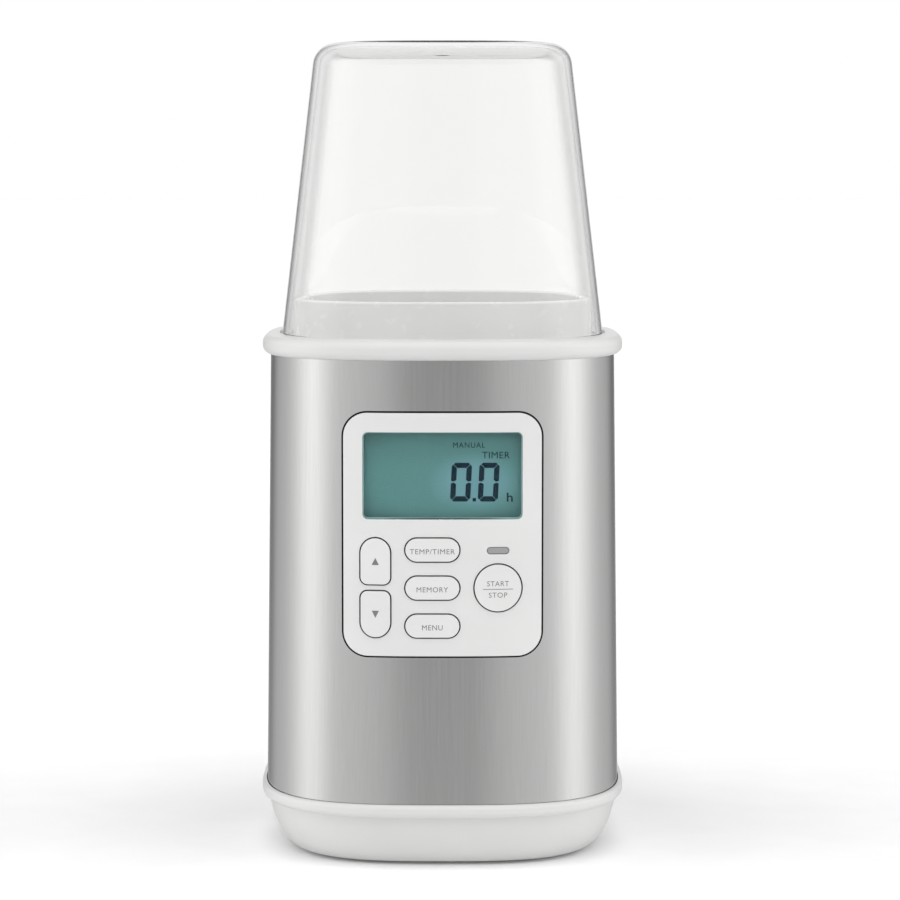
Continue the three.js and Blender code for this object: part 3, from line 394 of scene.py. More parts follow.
def clear(name, colour, roughness, ior):
    """Clear plastic with the slight waviness of a moulding, and painted shade: its colour darkens where
    it is seen edge on.
    """
    look = Shader(name, Transmission_Weight=1.0, IOR=ior)
    # Painted shade: the base colour turns dark where the surface is seen edge on.
    facing = look.tree.nodes.new("ShaderNodeLayerWeight").outputs["Facing"]
    look.feed("Base Color", look.ramp(facing, (0.66, colour), (0.86, shade(colour, 0.5)),
                                      (0.95, shade(colour, 0.06))))
    look.feed("Roughness", look.remap(look.noise(60), roughness, roughness + 0.02))
    look.bump(look.noise(14, detail=1), 0.02 * MM, 0.4)
    # Lamps shine straight through, so that what is behind the plastic is lit.
    mix = look.tree.nodes.new("ShaderNodeMixShader")
    through = look.tree.nodes.new("ShaderNodeBsdfTransparent")
    through.inputs["Color"].default_value = (*shade(colour, 1.03), 1)
    path = look.tree.nodes.new("ShaderNodeLightPath")
    look.tree.links.new(path.outputs["Is Shadow Ray"], mix.inputs["Fac"])
    look.tree.links.new(look.surface.outputs["BSDF"], mix.inputs[1])
    look.tree.links.new(through.outputs["BSDF"], mix.inputs[2])
    look.tree.links.new(mix.outputs["Shader"], look.tree.nodes["Material Output"].inputs["Surface"])
    return look.material


PAINTED_GLOW_SHIFT = (10.7 * MM, 0, -2.5 * MM)    # from the display's middle to the middle of the painted lighter, bluer patch round the digits
PAINTED_GLOW_REACH = (17 * MM, 11 * MM)
VIGNETTE = 0.72           # half-widths of the lit zone over the display's size, beyond which painted shade darkens it


def display(name):
    """A liquid crystal display: grey-green, with painted shade darkening it towards its edges and a
    painted lighter, bluer patch round the digits.
    """
    look = Shader(name, Roughness=0.35, Specular_IOR_Level=0.15)
    low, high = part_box("lcd_glass")
    middle = (low + high) / 2
    # Painted light: the grey-green turns lighter and bluer towards the digits.
    tint_and_painted_glow = look.ramp(look.glow(middle + Vector(PAINTED_GLOW_SHIFT), *PAINTED_GLOW_REACH),
                     (0.05, (0.112, 0.280, 0.272)), (0.5, (0.160, 0.350, 0.385)))
    # Painted shade: darker towards the display's edges, times a faint random clouding.
    edge = look.glow(middle, (high.x - low.x) * VIGNETTE, (high.z - low.z) * VIGNETTE)
    cloud = look.noise(30, detail=1)
    shadow = look.product(look.ramp(edge, (0.05, (0.85, 0.80, 0.80)), (0.36, (1, 1, 1))),
                          look.ramp(cloud, (0.25, (0.97, 0.98, 0.98)), (0.75, (1, 1, 1))))
    look.feed("Base Color", look.product(tint_and_painted_glow, shadow))
    look.bump(look.noise(3500, detail=1), 0.002 * MM)
    return look.material


def ink(name, colour):
    """Screen-printed ink, a little uneven."""
    look = Shader(name, Roughness=0.6, Specular_IOR_Level=0.1)
    look.feed("Base Color", look.ramp(look.noise(3000), (0.3, shade(colour, 0.92)),
                                      (0.7, shade(colour, 1.08))))
    return look.material


def circuit(name):
    """A circuit board: green solder mask over tracks, with bare pads."""
    look = Shader(name, Roughness=0.4)
    bricks = look.tree.nodes.new("ShaderNodeTexBrick")
    bricks.inputs["Scale"].default_value = 260
    bricks.inputs["Mortar Size"].default_value = 0.06
    bricks.inputs["Color1"].default_value = (0.020, 0.115, 0.050, 1)
    bricks.inputs["Color2"].default_value = (0.026, 0.140, 0.062, 1)
    bricks.inputs["Mortar"].default_value = (0.060, 0.230, 0.110, 1)
    look.tree.links.new(look.place, bricks.inputs["Vector"])
    look.feed("Base Color", bricks.outputs["Color"])
    look.bump(look.noise(900), 0.01 * MM)
    return look.material


def foil(name):
    """Crumpled aluminium foil over a heating wire."""
    look = Shader(name, Metallic=1.0)
    crease = look.noise(160, detail=5)
    look.feed("Base Color", look.ramp(crease, (0.3, (0.60, 0.61, 0.62)), (0.7, (0.80, 0.81, 0.82))))
    look.feed("Roughness", look.remap(crease, 0.28, 0.45))
    look.bump(crease, 0.15 * MM)
    return look.material


def plated(name, colour, roughness):
    """Plated steel hardware."""
    look = Shader(name, Metallic=1.0)
    wear = look.noise(700)
    look.feed("Base Color", look.ramp(wear, (0.3, shade(colour, 0.9)), (0.7, shade(colour, 1.1))))
    look.feed("Roughness", look.remap(wear, roughness - 0.05, roughness + 0.08))
    look.bump(look.noise(2400), 0.006 * MM)
    return look.material


WHITE = (0.69, 0.69, 0.683)
LOOKS = {
    "clear_plastic": clear("clear_plastic", (0.958, 0.958, 0.954), 0.0, 1.49),
    "white_plastic": moulded("white_plastic", WHITE, 0.36),
    "pot_plastic": moulded("pot_plastic", (0.86, 0.86, 0.852), 0.25),
    "brushed_steel": brushed("brushed_steel", (0.66, 0.66, 0.655), 0.24),
    "panel_plastic": moulded("panel_plastic", (0.735, 0.735, 0.73), 0.42),
    "window_plastic": clear("window_plastic", (0.99, 1.0, 1.0), 0.0, 1.2),
    "display_glass": display("display_glass"),
    "lens_plastic": moulded("lens_plastic", (0.33, 0.33, 0.33), 0.3, spread=0.05),
    "led_resin": moulded("led_resin", (0.7, 0.42, 0.15), 0.2),
    "circuit_board": circuit("circuit_board"),
    "black_plastic": moulded("black_plastic", (0.02, 0.02, 0.022), 0.45, spread=0.1),
    "cable_sleeve": moulded("cable_sleeve", (0.55, 0.55, 0.53), 0.5),
    "heater_foil": foil("heater_foil"),
    "lead_insulation": moulded("lead_insulation", (0.32, 0.03, 0.02), 0.5),
    "sensor_resin": moulded("sensor_resin", (0.42, 0.2, 0.05), 0.3, spread=0.05),
    "fuse_glass": clear("fuse_glass", (0.92, 0.95, 0.94), 0.02, 1.5),
    "transformer_core": plated("transformer_core", (0.09, 0.09, 0.1), 0.5),
    "relay_case": moulded("relay_case", (0.5, 0.52, 0.54), 0.42),
    "capacitor_sleeve": moulded("capacitor_sleeve", (0.03, 0.035, 0.06), 0.35, spread=0.08),
    "gland_plastic": moulded("gland_plastic", (0.7, 0.7, 0.69), 0.5),
    "foot_rubber": moulded("foot_rubber", (0.12, 0.12, 0.125), 0.85, grain=0.03 * MM, spread=0.08),
    "screw_steel": plated("screw_steel", (0.52, 0.52, 0.53), 0.3),
    "key_plastic": moulded("key_plastic", (0.75, 0.75, 0.745), 0.4),
    "plunger_plastic": moulded("plunger_plastic", (0.6, 0.58, 0.54), 0.5),
}
# Painted shade: near-black for the walls of the seams and the parts behind them, where the gaps are in
# shade.
seam_painted_shade = moulded("seam_painted_shade", (0.006, 0.006, 0.006), 0.7, spread=0.2)
label_ink = ink("label_ink", (0.20, 0.20, 0.20))
segment_ink = ink("segment_ink", (0.003, 0.020, 0.035))
legend_ink = ink("legend_ink", (0.006, 0.030, 0.042))
# Painted light: a pale cyan on the window opening's walls and the pane's bevel, standing in for the
# display's light on them.
pane_edge_painted_glow = moulded("pane_edge_painted_glow", (0.50, 0.66, 0.65), 0.25)


# ---- Camera, light and floor -----------------------------------------------------------------

CAMERA_BACK = 1.0952
CAMERA_HEIGHT = 0.2342
CAMERA_PITCH = 5.2
LENS = 126
SHIFT = 1 / 120           # of the frame's width

# The studio's brightness by direction: degrees round from the camera, either way, and level.
STUDIO_BANDS = ((0, 0.25), (4, 0.29), (10, 0.6), (30, 0.7), (50, 0.78), (64, 1.2), (76, 1.45),
                (87, 1.3), (104, 0.88), (122, 0.6), (142, 0.5), (152, 0.22), (158, 0.06),
                (166, 0.05), (170, 1.0))
BELOW_FADE = (-0.03, -0.3)    # where the bands fade, as the height of a direction of length 1
BELOW_LEVEL = 0.65
BELOW_MOST = 0.5
OVERHEAD_FADE = (0.3, 0.7)
OVERHEAD_LEVEL = 0.35
# Name, degrees up, degrees round from the front, width in degrees, strength.
SUNS = (("top_softbox", 75, 0, 60, 1.6), ("left_softbox", 20, -80, 60, 0.75),
        ("right_softbox", 20, 80, 60, 0.75))
FLOOR_REACH = 20
FLOOR_STEPS = 64
FLOOR_WHITE = (0.98, 0.98, 0.98)


def make_camera():
    data = bpy.data.cameras.new("camera")
    data.lens = LENS
    data.shift_x = SHIFT
    data.clip_start = 0.05
    camera = bpy.data.objects.new("camera", data)
    camera.location = (0, -CAMERA_BACK, CAMERA_HEIGHT)
    camera.rotation_euler = (math.radians(90 - CAMERA_PITCH), 0, 0)
    bpy.context.scene.collection.objects.link(camera)
    bpy.context.scene.camera = camera


def make_world():
    """A white studio whose brightness changes with direction, so that the steel shows soft bands."""
    world = bpy.data.worlds.new("studio")
    bpy.context.scene.world = world
    world.use_nodes = True
    tree = world.node_tree
    background = tree.nodes["Background"]
    direction = tree.nodes.new("ShaderNodeTexCoord").outputs["Generated"]
    split = tree.nodes.new("ShaderNodeSeparateXYZ")
    tree.links.new(direction, split.inputs["Vector"])

    def math_node(operation, first, second=None):
        node = tree.nodes.new("ShaderNodeMath")
        node.operation = operation
        for socket, value in zip(node.inputs, (first, second)):
            if isinstance(value, (int, float)):
                socket.default_value = value
            elif value is not None:
                tree.links.new(value, socket)
        return node.outputs["Value"]

    def faded(height, start, end, colour, level, most=1.0):
        """The colour, fading by up to most to a grey level as height goes from start to end."""
        share = tree.nodes.new("ShaderNodeMapRange")
        share.inputs["To Max"].default_value = most
        share.inputs["From Min"].default_value = start
        share.inputs["From Max"].default_value = end
        tree.links.new(height, share.inputs["Value"])
        mix = tree.nodes.new("ShaderNodeMix")
        mix.data_type = 'RGBA'
        mix.inputs["B"].default_value = (level, level, level, 1)
        tree.links.new(share.outputs["Result"], mix.inputs["Factor"])
        tree.links.new(colour, mix.inputs["A"])
        return mix.outputs["Result"]

    behind = math_node('MULTIPLY', split.outputs["Y"], -1.0)
    side = math_node('ABSOLUTE', split.outputs["X"])
    turn = math_node('DIVIDE', math_node('ARCTAN2', side, behind), math.pi)
    ramp = tree.nodes.new("ShaderNodeValToRGB")
    points = ramp.color_ramp.elements
    while len(points) < len(STUDIO_BANDS):
        points.new(0.5)
    for point, (turned_by, level) in zip(points, STUDIO_BANDS):
        point.position = turned_by / 180
        point.color = (level, level, level, 1)
    tree.links.new(turn, ramp.inputs["Fac"])
    # The bands fade below the horizon and overhead.
    below = faded(split.outputs["Z"], *BELOW_FADE, ramp.outputs["Color"], BELOW_LEVEL, BELOW_MOST)
    blend = faded(split.outputs["Z"], *OVERHEAD_FADE, below, OVERHEAD_LEVEL)
    # Seen directly or through a clear part, the studio is plain white.
    seen = tree.nodes.new("ShaderNodeMix")
    seen.data_type = 'RGBA'
    seen.inputs["B"].default_value = (1, 1, 1, 1)
    path = tree.nodes.new("ShaderNodeLightPath")
    direct = math_node('MAXIMUM', path.outputs["Is Camera Ray"], path.outputs["Is Transmission Ray"])
    tree.links.new(direct, seen.inputs["Factor"])
    tree.links.new(blend, seen.inputs["A"])
    tree.links.new(seen.outputs["Result"], background.inputs["Color"])


def make_sun(name, height, turn, spread, strength):
    """A large soft light, height degrees up and turn degrees round from the front."""
    data = bpy.data.lights.new(name, 'SUN')
    data.angle = math.radians(spread)
    data.energy = strength
    light = bpy.data.objects.new(name, data)
    light.rotation_euler = (math.radians(90 - height), 0, math.radians(turn))
    light.visible_glossy = False
    light.visible_transmission = False
    bpy.context.scene.collection.objects.link(light)


def make_floor():
    bm = bmesh.new()
    bmesh.ops.create_circle(bm, cap_ends=True, radius=FLOOR_REACH, segments=FLOOR_STEPS)
    floor = link("floor", finish_mesh(bm, "floor"), moulded("floor_paint", FLOOR_WHITE, 0.8))
    # The steel mirrors the studio's soft bands and not the bright floor.
    floor.visible_glossy = False


make_camera()
make_world()
for sun in SUNS:
    make_sun(*sun)
make_floor()
bpy.context.scene.view_settings.view_transform = 'Standard'


# ---- Cover -----------------------------------------------------------------------------------

COVER_WALL = 2 * MM
COVER_LEAN = 11.6 * MM
COVER_CORNER = 7.5 * MM
GATE_RADIUS = 2.3 * MM    # dimple inside the top, where the plastic went in
DIMPLE_RADIUS = 3.3 * MM
DIMPLE_DEPTH = 0.35 * MM


def make_cover():
    foot = cover_high.x
    top_half = foot - COVER_LEAN
    top, inside = cover_high.z, cover_high.z - COVER_WALL
    corner = 0.4 * MM
    outline = rounded([
        (0, inside + DIMPLE_DEPTH, 0),
        (GATE_RADIUS, inside + DIMPLE_DEPTH, 0.15 * MM),
        (GATE_RADIUS + 0.4 * MM, inside, 0.2 * MM),
        (top_half - COVER_WALL, inside, COVER_CORNER - COVER_WALL),
        (foot - COVER_WALL, cover_low.z, corner),
        (foot, cover_low.z, corner),
        (top_half, top, COVER_CORNER),
        (DIMPLE_RADIUS + 0.6 * MM, top, 0.3 * MM),
        (DIMPLE_RADIUS, top - DIMPLE_DEPTH, 0.2 * MM),
        (0, top - DIMPLE_DEPTH, 0),
    ], steps=10)
    mesh = turned("clear_cover", outline,
                  exponent_at=lambda half: 2 if half < 6 * MM else SQUARENESS)
    cover = even_normals(link("clear_cover", mesh, LOOKS["clear_plastic"]))
    dress(cover, "cover", "clear_plastic", "cover")


# ---- Collar, shell, pot and base -------------------------------------------------------------

COVER_SEAT = 0.8 * MM     # how far the cover sits below the collar's crest
PLASTIC_WALL = 2.5 * MM
POT_WALL = 2 * MM
RIM_SPACE = 2.15 * MM     # between the cover and the pot's rim
RIM_WALL = 2.5 * MM
POT_SHOULDER = 1 * MM
POT_LEAN = 3.2 * MM       # how far the pot's side leans in from its flange to its floor
POT_FLOOR_LIFT = 6 * MM
FLANGE_THICK = 1.8 * MM
EASE_DROP = 7 * MM        # from the shell's top to where the pot starts to turn square
EASE_HEIGHT = 20 * MM     # over which it goes from the body's proportions to square
EASE_STEPS = 8
POST_INSET = 4.3 * MM     # the screw posts under the pot's floor
POST_RADIUS = 4 * MM
POST_FOOT_RADIUS = 3.8 * MM
POST_OVERLAP = 1 * MM
PILOT_RADIUS = 1.8 * MM
PILOT_LENGTH = 20 * MM
PILOT_DROP = 12 * MM      # from the pot's floor to the middle of the hole


def make_collar():
    bead = collar_high.x
    crest = collar_high.z
    seat = crest - COVER_SEAT
    top_half = shell_half(shell_top)
    lip = top_half + GAP
    groove = shell_high.z + GAP
    seat_edge = cover_high.x + 2 * GAP
    rebate = pot_high.x + GAP
    flange_low = seat - FLANGE_THICK
    ledge = cover_high.x - COVER_WALL - RIM_SPACE - POT_SHOULDER + GAP
    ledge_low = flange_low - GAP - PLASTIC_WALL
    skirt = shell_half(collar_low.z) - SHELL_WALL - 2 * GAP
    skirt_in = skirt - PLASTIC_WALL / 2
    outline = rounded([
        (ledge, ledge_low, 0),
        (skirt_in, ledge_low, EDGE),
        (skirt_in, collar_low.z, EDGE),
        (skirt, collar_low.z, EDGE),
        (skirt, groove, 0),
        (lip, groove, 0),
        (lip, shell_top, 0.12 * MM),
        (bead, shell_top - 0.1 * MM, 2.6 * MM),
        (bead + 0.1 * MM, crest - 0.6 * MM, 2.9 * MM),
        (seat_edge, crest, 0.25 * MM),
        (seat_edge, seat, 0.15 * MM),
        (rebate, seat, FINE_EDGE),
        (rebate, flange_low - GAP, 0),
        (ledge, flange_low - GAP, FINE_EDGE),
    ], steps=8)
    mesh = turned("collar_ring", outline, closed=True)
    collar = even_normals(link("collar_ring", mesh, LOOKS["white_plastic"]))
    dress(collar, "housing", "white_plastic", "top_collar")


def make_pot():
    top = pot_high.z
    rim = cover_high.x - COVER_WALL - RIM_SPACE
    flange = pot_high.x
    flange_top = collar_high.z - COVER_SEAT
    flange_low = flange_top - FLANGE_THICK
    floor_low = base_top + POT_FLOOR_LIFT
    top_half = rim - POT_SHOULDER
    lean = POT_LEAN / (flange_low - floor_low)
    ease_high = shell_top - EASE_DROP
    ease_low = ease_high - EASE_HEIGHT

    def half_at(z):
        return top_half - lean * (flange_low - z)

    def ratio_at(z):
        share = min(1, max(0, (z - ease_low) / (ease_high - ease_low)))
        return 1 + (DEPTH_RATIO - 1) * share * share * (3 - 2 * share)

    inner_floor = floor_low + POT_WALL
    ease = [ease_low + (ease_high - ease_low) * k / EASE_STEPS for k in range(EASE_STEPS + 1)]
    outline = rounded([
        (0, inner_floor, 0),
        (half_at(inner_floor) - POT_WALL, inner_floor, 1 * MM),
        *[(half_at(z) - POT_WALL, z, 0) for z in ease],
        (rim - RIM_WALL, top, 0.9 * MM),
        (rim, top, 0.9 * MM),
        (rim + 0.25 * MM, flange_top, 0.5 * MM),
        (flange, flange_top, EDGE),
        (flange, flange_low, FINE_EDGE),
        (top_half, flange_low, FINE_EDGE),
        *[(half_at(z), z, 0) for z in reversed(ease)],
        (half_at(floor_low), floor_low, 3 * MM),
        (0, floor_low, 0),
    ], steps=5)
    pot = link("pot_liner", turned("pot_liner", outline, ratio_at), LOOKS["pot_plastic"])
    reach = half_at(floor_low) * 0.5 ** (1 / SQUARENESS) - POST_INSET
    post_top = floor_low + POST_OVERLAP
    for x, y in ((reach, -reach), (reach, reach), (-reach, reach), (-reach, -reach)):
        combine(pot, 'UNION', rod("post", (x, y, (post_top + pot_low.z) / 2), post_top - pot_low.z,
                                  POST_FOOT_RADIUS, POST_RADIUS))
        combine(pot, 'DIFFERENCE', rod("pilot", (x, y, floor_low - PILOT_DROP), PILOT_LENGTH,
                                       PILOT_RADIUS))
    dress(even_normals(pot), "housing", "pot_plastic", "inner_pot")


def make_shell():
    low, high = shell_low.z, shell_high.z
    outline = rounded([
        (shell_half(low) - SHELL_WALL, low, FINE_EDGE),
        (shell_half(low), low, FINE_EDGE),
        (shell_half(high), high, FINE_EDGE),
        (shell_half(high) - SHELL_WALL, high, FINE_EDGE),
    ], steps=3)
    shell = link("steel_body", turned("steel_body", outline, closed=True, steps=2 * RING_STEPS),
                 LOOKS["brushed_steel"])
    opening = rounded_box(panel_width + 2 * PANEL_SEAM, panel_height + 2 * PANEL_SEAM,
                          PANEL_CORNER + PANEL_SEAM, BIG_CORNER_STEPS)
    combine(shell, 'DIFFERENCE', prism("opening", opening, 0, panel_z, -0.2, 0))
    dress(even_normals(shell), "housing", "brushed_steel", "outer_shell")


BOWL_EXPONENT = 1.6
BOWL_STEPS = 24
BOWL_INSET = 0.8 * MM     # the bowl's top edge behind the shell's side
BOWL_TUCK = 8.2 * MM      # how far the bowl's foot is in from its top edge
RING_HEIGHT = 4.6 * MM
PLATE_THICK = 2.4 * MM
LEDGE = 2 * MM            # on which the base plate seats
SHELF_DROP = 7.5 * MM
SHELF_INSET = 11 * MM
GLAND_HOLE_RADIUS = 5.3 * MM
GLAND_HOLE_LENGTH = 40 * MM
GLAND_HOLE_PLACE = 14 * MM    # from the gland's inner end to the middle of the hole


def make_tub():
    ring_low = base_top - RING_HEIGHT
    bead = tub_high.x
    top_half = shell_half(ring_low) - BOWL_INSET
    low_half = top_half - BOWL_TUCK
    low = tub_low.z
    plate = plate_high.x + GAP
    ledge = plate_low.z + PLATE_THICK + GAP
    groove_out = shell_half(shell_low.z) + GAP
    groove_in = groove_out - SHELL_WALL - 3 * GAP
    guide = groove_in - PLASTIC_WALL / 2
    shelf = base_top - SHELF_DROP
    shelf_half = pot_floor_half() - SHELF_INSET

    def bowl(angle):
        return (low_half + (top_half - low_half) * math.sin(angle) ** (2 / BOWL_EXPONENT),
                ring_low - (ring_low - low) * math.cos(angle) ** (2 / BOWL_EXPONENT), 0)

    def bowl_inside(z):
        drop = (ring_low - z) / (ring_low - low)
        return bowl(math.acos(drop ** (BOWL_EXPONENT / 2)))[0] - PLASTIC_WALL

    outline = rounded([
        (plate, low, EDGE),
        *[bowl(k / BOWL_STEPS * math.pi / 2) for k in range(BOWL_STEPS)],
        (top_half, ring_low + 0.1 * MM, 0.35 * MM),
        (bead + 0.05 * MM, ring_low + 0.5 * MM, 1.7 * MM),
        (bead + 0.05 * MM, base_top - 0.15 * MM, 1.6 * MM),
        (groove_out, base_top, FINE_EDGE),
        (groove_out, shell_low.z - GAP, 0),
        (groove_in, shell_low.z - GAP, 0),
        (groove_in, tub_high.z, EDGE),
        (guide, tub_high.z, EDGE),
        (guide, shelf, 0.5 * MM),
        (shelf_half, shelf, EDGE),
        (shelf_half, shelf - PLASTIC_WALL, EDGE),
        (bowl_inside(shelf - PLASTIC_WALL), shelf - PLASTIC_WALL, 0),
        (bowl_inside(ledge + LEDGE), ledge + LEDGE, 0),
        (plate - LEDGE, ledge + LEDGE, EDGE),
        (plate - LEDGE, ledge, 0),
        (plate, ledge, 0),
    ], steps=6)
    tub = link("base_bowl", turned("base_bowl", outline, closed=True), LOOKS["white_plastic"])
    gland_low, gland_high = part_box("cord_gland")
    place = (0, gland_low.y + GLAND_HOLE_PLACE, (gland_low.z + gland_high.z) / 2)
    combine(tub, 'DIFFERENCE', rod("gland_hole", place, GLAND_HOLE_LENGTH, GLAND_HOLE_RADIUS,
                                   segments=ROUND_STEPS, along_y=True))
    dress(even_normals(tub), "housing", "white_plastic", "base_tub")


def pot_floor_half():
    return cover_high.x - COVER_WALL - RIM_SPACE - POT_SHOULDER - POT_LEAN


# ---- Control panel ---------------------------------------------------------------------------

SEAM = 0.45 * MM          # round the keys
PANEL_SEAM = 0.6 * MM     # round the panel
PANEL_CORNER = 8 * MM
PANEL_FLANGE = 3 * MM
PANEL_PROUD = 0.4 * MM
PANEL_WALL = 2.1 * MM
KEY_PROUD = 0.9 * MM
KEY_LIP = 0.55 * MM
KEY_BACK = 3.4 * MM
ARROW_CORNER = 2.3 * MM
WINDOW_CORNER = 1.8 * MM
LENS_SEAM = 0.12 * MM
OVERLAP = 0.02 * MM       # keeps the faces of two shapes from falling together
PANEL_MARGIN = 6 * MM     # of a curved plate before it is cut to its outline
FLANGE_MARGIN = 3 * MM
KEY_MARGIN = 1 * MM
PANEL_COLUMNS = 64
KEY_COLUMNS = 16
BIG_CORNER_STEPS = 16
SEAM_ANGLE = 45
panel_width = panel_high.x - panel_low.x - 2 * PANEL_FLANGE
panel_height = panel_high.z - panel_low.z - 2 * PANEL_FLANGE
panel_z = (panel_low.z + panel_high.z) / 2
window_width = window_high.x - window_low.x
window_height = window_high.z - window_low.z
window_z = (window_low.z + window_high.z) / 2
FAR_FRONT = -0.2


def key_place(node):
    """A key's or the lens's centre and size, without the lip that keeps it in."""
    low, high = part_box(node)
    return ((low.x + high.x) / 2, (low.z + high.z) / 2,
            high.x - low.x - 2 * KEY_LIP, high.z - low.z - 2 * KEY_LIP)


def key_outline(name, width, height, grow=0.0):
    width, height = width + 2 * grow, height + 2 * grow
    if name in ("up", "down"):
        return arch(width, height, ARROW_CORNER + grow, 1 if name == "up" else -1)
    return rounded_box(width, height, height / 2, 14)


KEYS = ("up", "down", "temp_timer", "memory", "menu", "start_stop")


def finish_sides(piece):
    """Paints the seams' walls near-black as painted shade, and the window opening's walls a pale cyan
    as painted glow.
    """
    piece.data.materials.append(seam_painted_shade)
    piece.data.materials.append(pane_edge_painted_glow)
    for face in piece.data.polygons:
        across, up = abs(face.center.x), abs(face.center.z - window_z)
        if abs(face.normal.y) < 0.5:
            by_window = across < window_width / 2 + SEAM and up < window_height / 2 + SEAM
            face.material_index = 2 if by_window else 1


def make_panel():
    x, top, low = panel_width / 2, panel_z + panel_height / 2, panel_z - panel_height / 2
    panel = skin("panel", -x - PANEL_FLANGE * 1.5, x + PANEL_FLANGE * 1.5, low - PANEL_MARGIN,
                 top + PANEL_MARGIN, PANEL_PROUD, -PANEL_WALL, PANEL_COLUMNS)
    outline = rounded_box(panel_width, panel_height, PANEL_CORNER, BIG_CORNER_STEPS)
    combine(panel, 'INTERSECT', prism("outline", outline, 0, panel_z, FAR_FRONT, 0))
    outline = rounded_box(window_width + 2 * GAP, window_height + 2 * GAP, WINDOW_CORNER)
    holes = [prism("window_hole", outline, 0, window_z, FAR_FRONT, 0)]
    for name in KEYS:
        kx, kz, width, height = key_place(f"{name}_button")
        outline = key_outline(name, width, height, SEAM)
        holes.append(prism(f"{name}_hole", outline, kx, kz, FAR_FRONT, 0))
    lx, lz, width, height = key_place("indicator_lens")
    outline = key_outline("lens", width, height, LENS_SEAM)
    holes.append(prism("lens_hole", outline, lx, lz, FAR_FRONT, 0))
    combine(panel, 'DIFFERENCE', *holes)
    paint(panel, LOOKS["panel_plastic"])
    finish_sides(panel)
    soften(panel, 0.28 * MM, 3, SEAM_ANGLE)
    dress(panel, "housing", "panel_plastic", "control_panel")
    panel.name = "panel_face"
    flange = skin("panel_flange", -x - PANEL_FLANGE, x + PANEL_FLANGE, low - FLANGE_MARGIN,
                  top + FLANGE_MARGIN, -SHELL_WALL - GAP, -PANEL_WALL, PANEL_COLUMNS)
    ring = rounded_box(panel_width + 2 * PANEL_FLANGE, panel_height + 2 * PANEL_FLANGE,
                       PANEL_CORNER + PANEL_FLANGE, 10)
    combine(flange, 'INTERSECT', prism("ring", ring, 0, panel_z, FAR_FRONT, 0))
    outline = rounded_box(panel_width + OVERLAP, panel_height + OVERLAP, PANEL_CORNER, BIG_CORNER_STEPS)
    combine(flange, 'DIFFERENCE', prism("middle", outline, 0, panel_z, FAR_FRONT, 0))
    # The flange behind the panel's seam is painted near-black, painted shade for the seam.
    paint(flange, seam_painted_shade)
    dress(flange, "housing", "black_plastic")


def make_key(name, body):
    x, z, width, height = key_place(f"{name}_button")
    x0, x1 = x - width / 2 - KEY_MARGIN, x + width / 2 + KEY_MARGIN
    z0, z1 = z - height / 2 - KEY_MARGIN, z + height / 2 + KEY_MARGIN

    def column(grow=0.0):
        return prism("outline", key_outline(name, width, height, grow), x, z, FAR_FRONT, 0)

    key = skin(f"{name}_cap", x0, x1, z0, z1, KEY_PROUD, -KEY_BACK, KEY_COLUMNS)
    combine(key, 'INTERSECT', column())
    paint(key, LOOKS["key_plastic"])
    soften(key, 0.35 * MM, 4, SEAM_ANGLE)
    dress(key, body, "key_plastic", f"{name}_button")
    lip = skin(f"{name}_lip", x0, x1, z0, z1, -PANEL_WALL - GAP, -KEY_BACK, KEY_COLUMNS)
    combine(lip, 'INTERSECT', column(KEY_LIP))
    combine(lip, 'DIFFERENCE', column(OVERLAP / 2))
    # The lip behind the key is painted near-black, painted shade for the key's seam.
    paint(lip, seam_painted_shade)
    dress(lip, body, "black_plastic")


def make_lens():
    x, z, width, height = key_place("indicator_lens")
    lens = skin("indicator_window", x - width, x + width, z - height, z + height,
                PANEL_PROUD - 0.05 * MM, -KEY_BACK, KEY_COLUMNS)
    combine(lens, 'INTERSECT', prism("outline", key_outline("lens", width, height), x, z, FAR_FRONT, 0))
    paint(lens, LOOKS["lens_plastic"])
    soften(lens, 0.2 * MM, 3, SEAM_ANGLE)
    dress(lens, "housing", "lens_plastic", "indicator_lens")


def make_window():
    grow = 2 * (GAP - OVERLAP)
    outline = rounded_box(window_width + grow, window_height + grow, WINDOW_CORNER)
    pane = prism("display_pane", outline, 0, window_z, window_low.y, window_high.y)
    pane.data.materials.append(LOOKS["window_plastic"])
    pane.data.materials.append(pane_edge_painted_glow)
    # The pane's bevel takes the pale cyan painted glow.
    soften(pane, 0.4 * MM, 1, finish=1)
    dress(pane, "housing", "window_plastic", "display_window")


# ---- Printing --------------------------------------------------------------------------------

PRINT_THICK = 0.02 * MM


def printed(name, text, x, z, height, width, y_at, material, body, spread=1.0, weight=0.0):
    """Text whose capitals are height tall, centred on (x, z), laid on the surface y_at(x, z)."""
    curve = bpy.data.curves.new(name, 'FONT')
    curve.body = text
    curve.size = 1
    curve.space_character = spread
    curve.extrude = 0.01
    curve.offset = weight
    curve.resolution_u = 4
    holder = bpy.data.objects.new("type", curve)
    bpy.context.scene.collection.objects.link(holder)
    graph = bpy.context.evaluated_depsgraph_get()
    mesh = bpy.data.meshes.new_from_object(holder.evaluated_get(graph))
    bpy.data.objects.remove(holder)
    xs = [v.co.x for v in mesh.vertices]
    ys = [v.co.y for v in mesh.vertices]
    across = width / (max(xs) - min(xs))
    up = height / (max(ys) - min(ys))
    middle = ((max(xs) + min(xs)) / 2, (max(ys) + min(ys)) / 2)
    for vertex in mesh.vertices:
        px = x + (vertex.co.x - middle[0]) * across
        pz = z + (vertex.co.y - middle[1]) * up
        py = y_at(px, pz) - (PRINT_THICK if vertex.co.z > 0 else -PRINT_THICK)
        vertex.co = (px, py, pz)
    piece = link(name, mesh, material)
    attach(piece, body)
    return piece


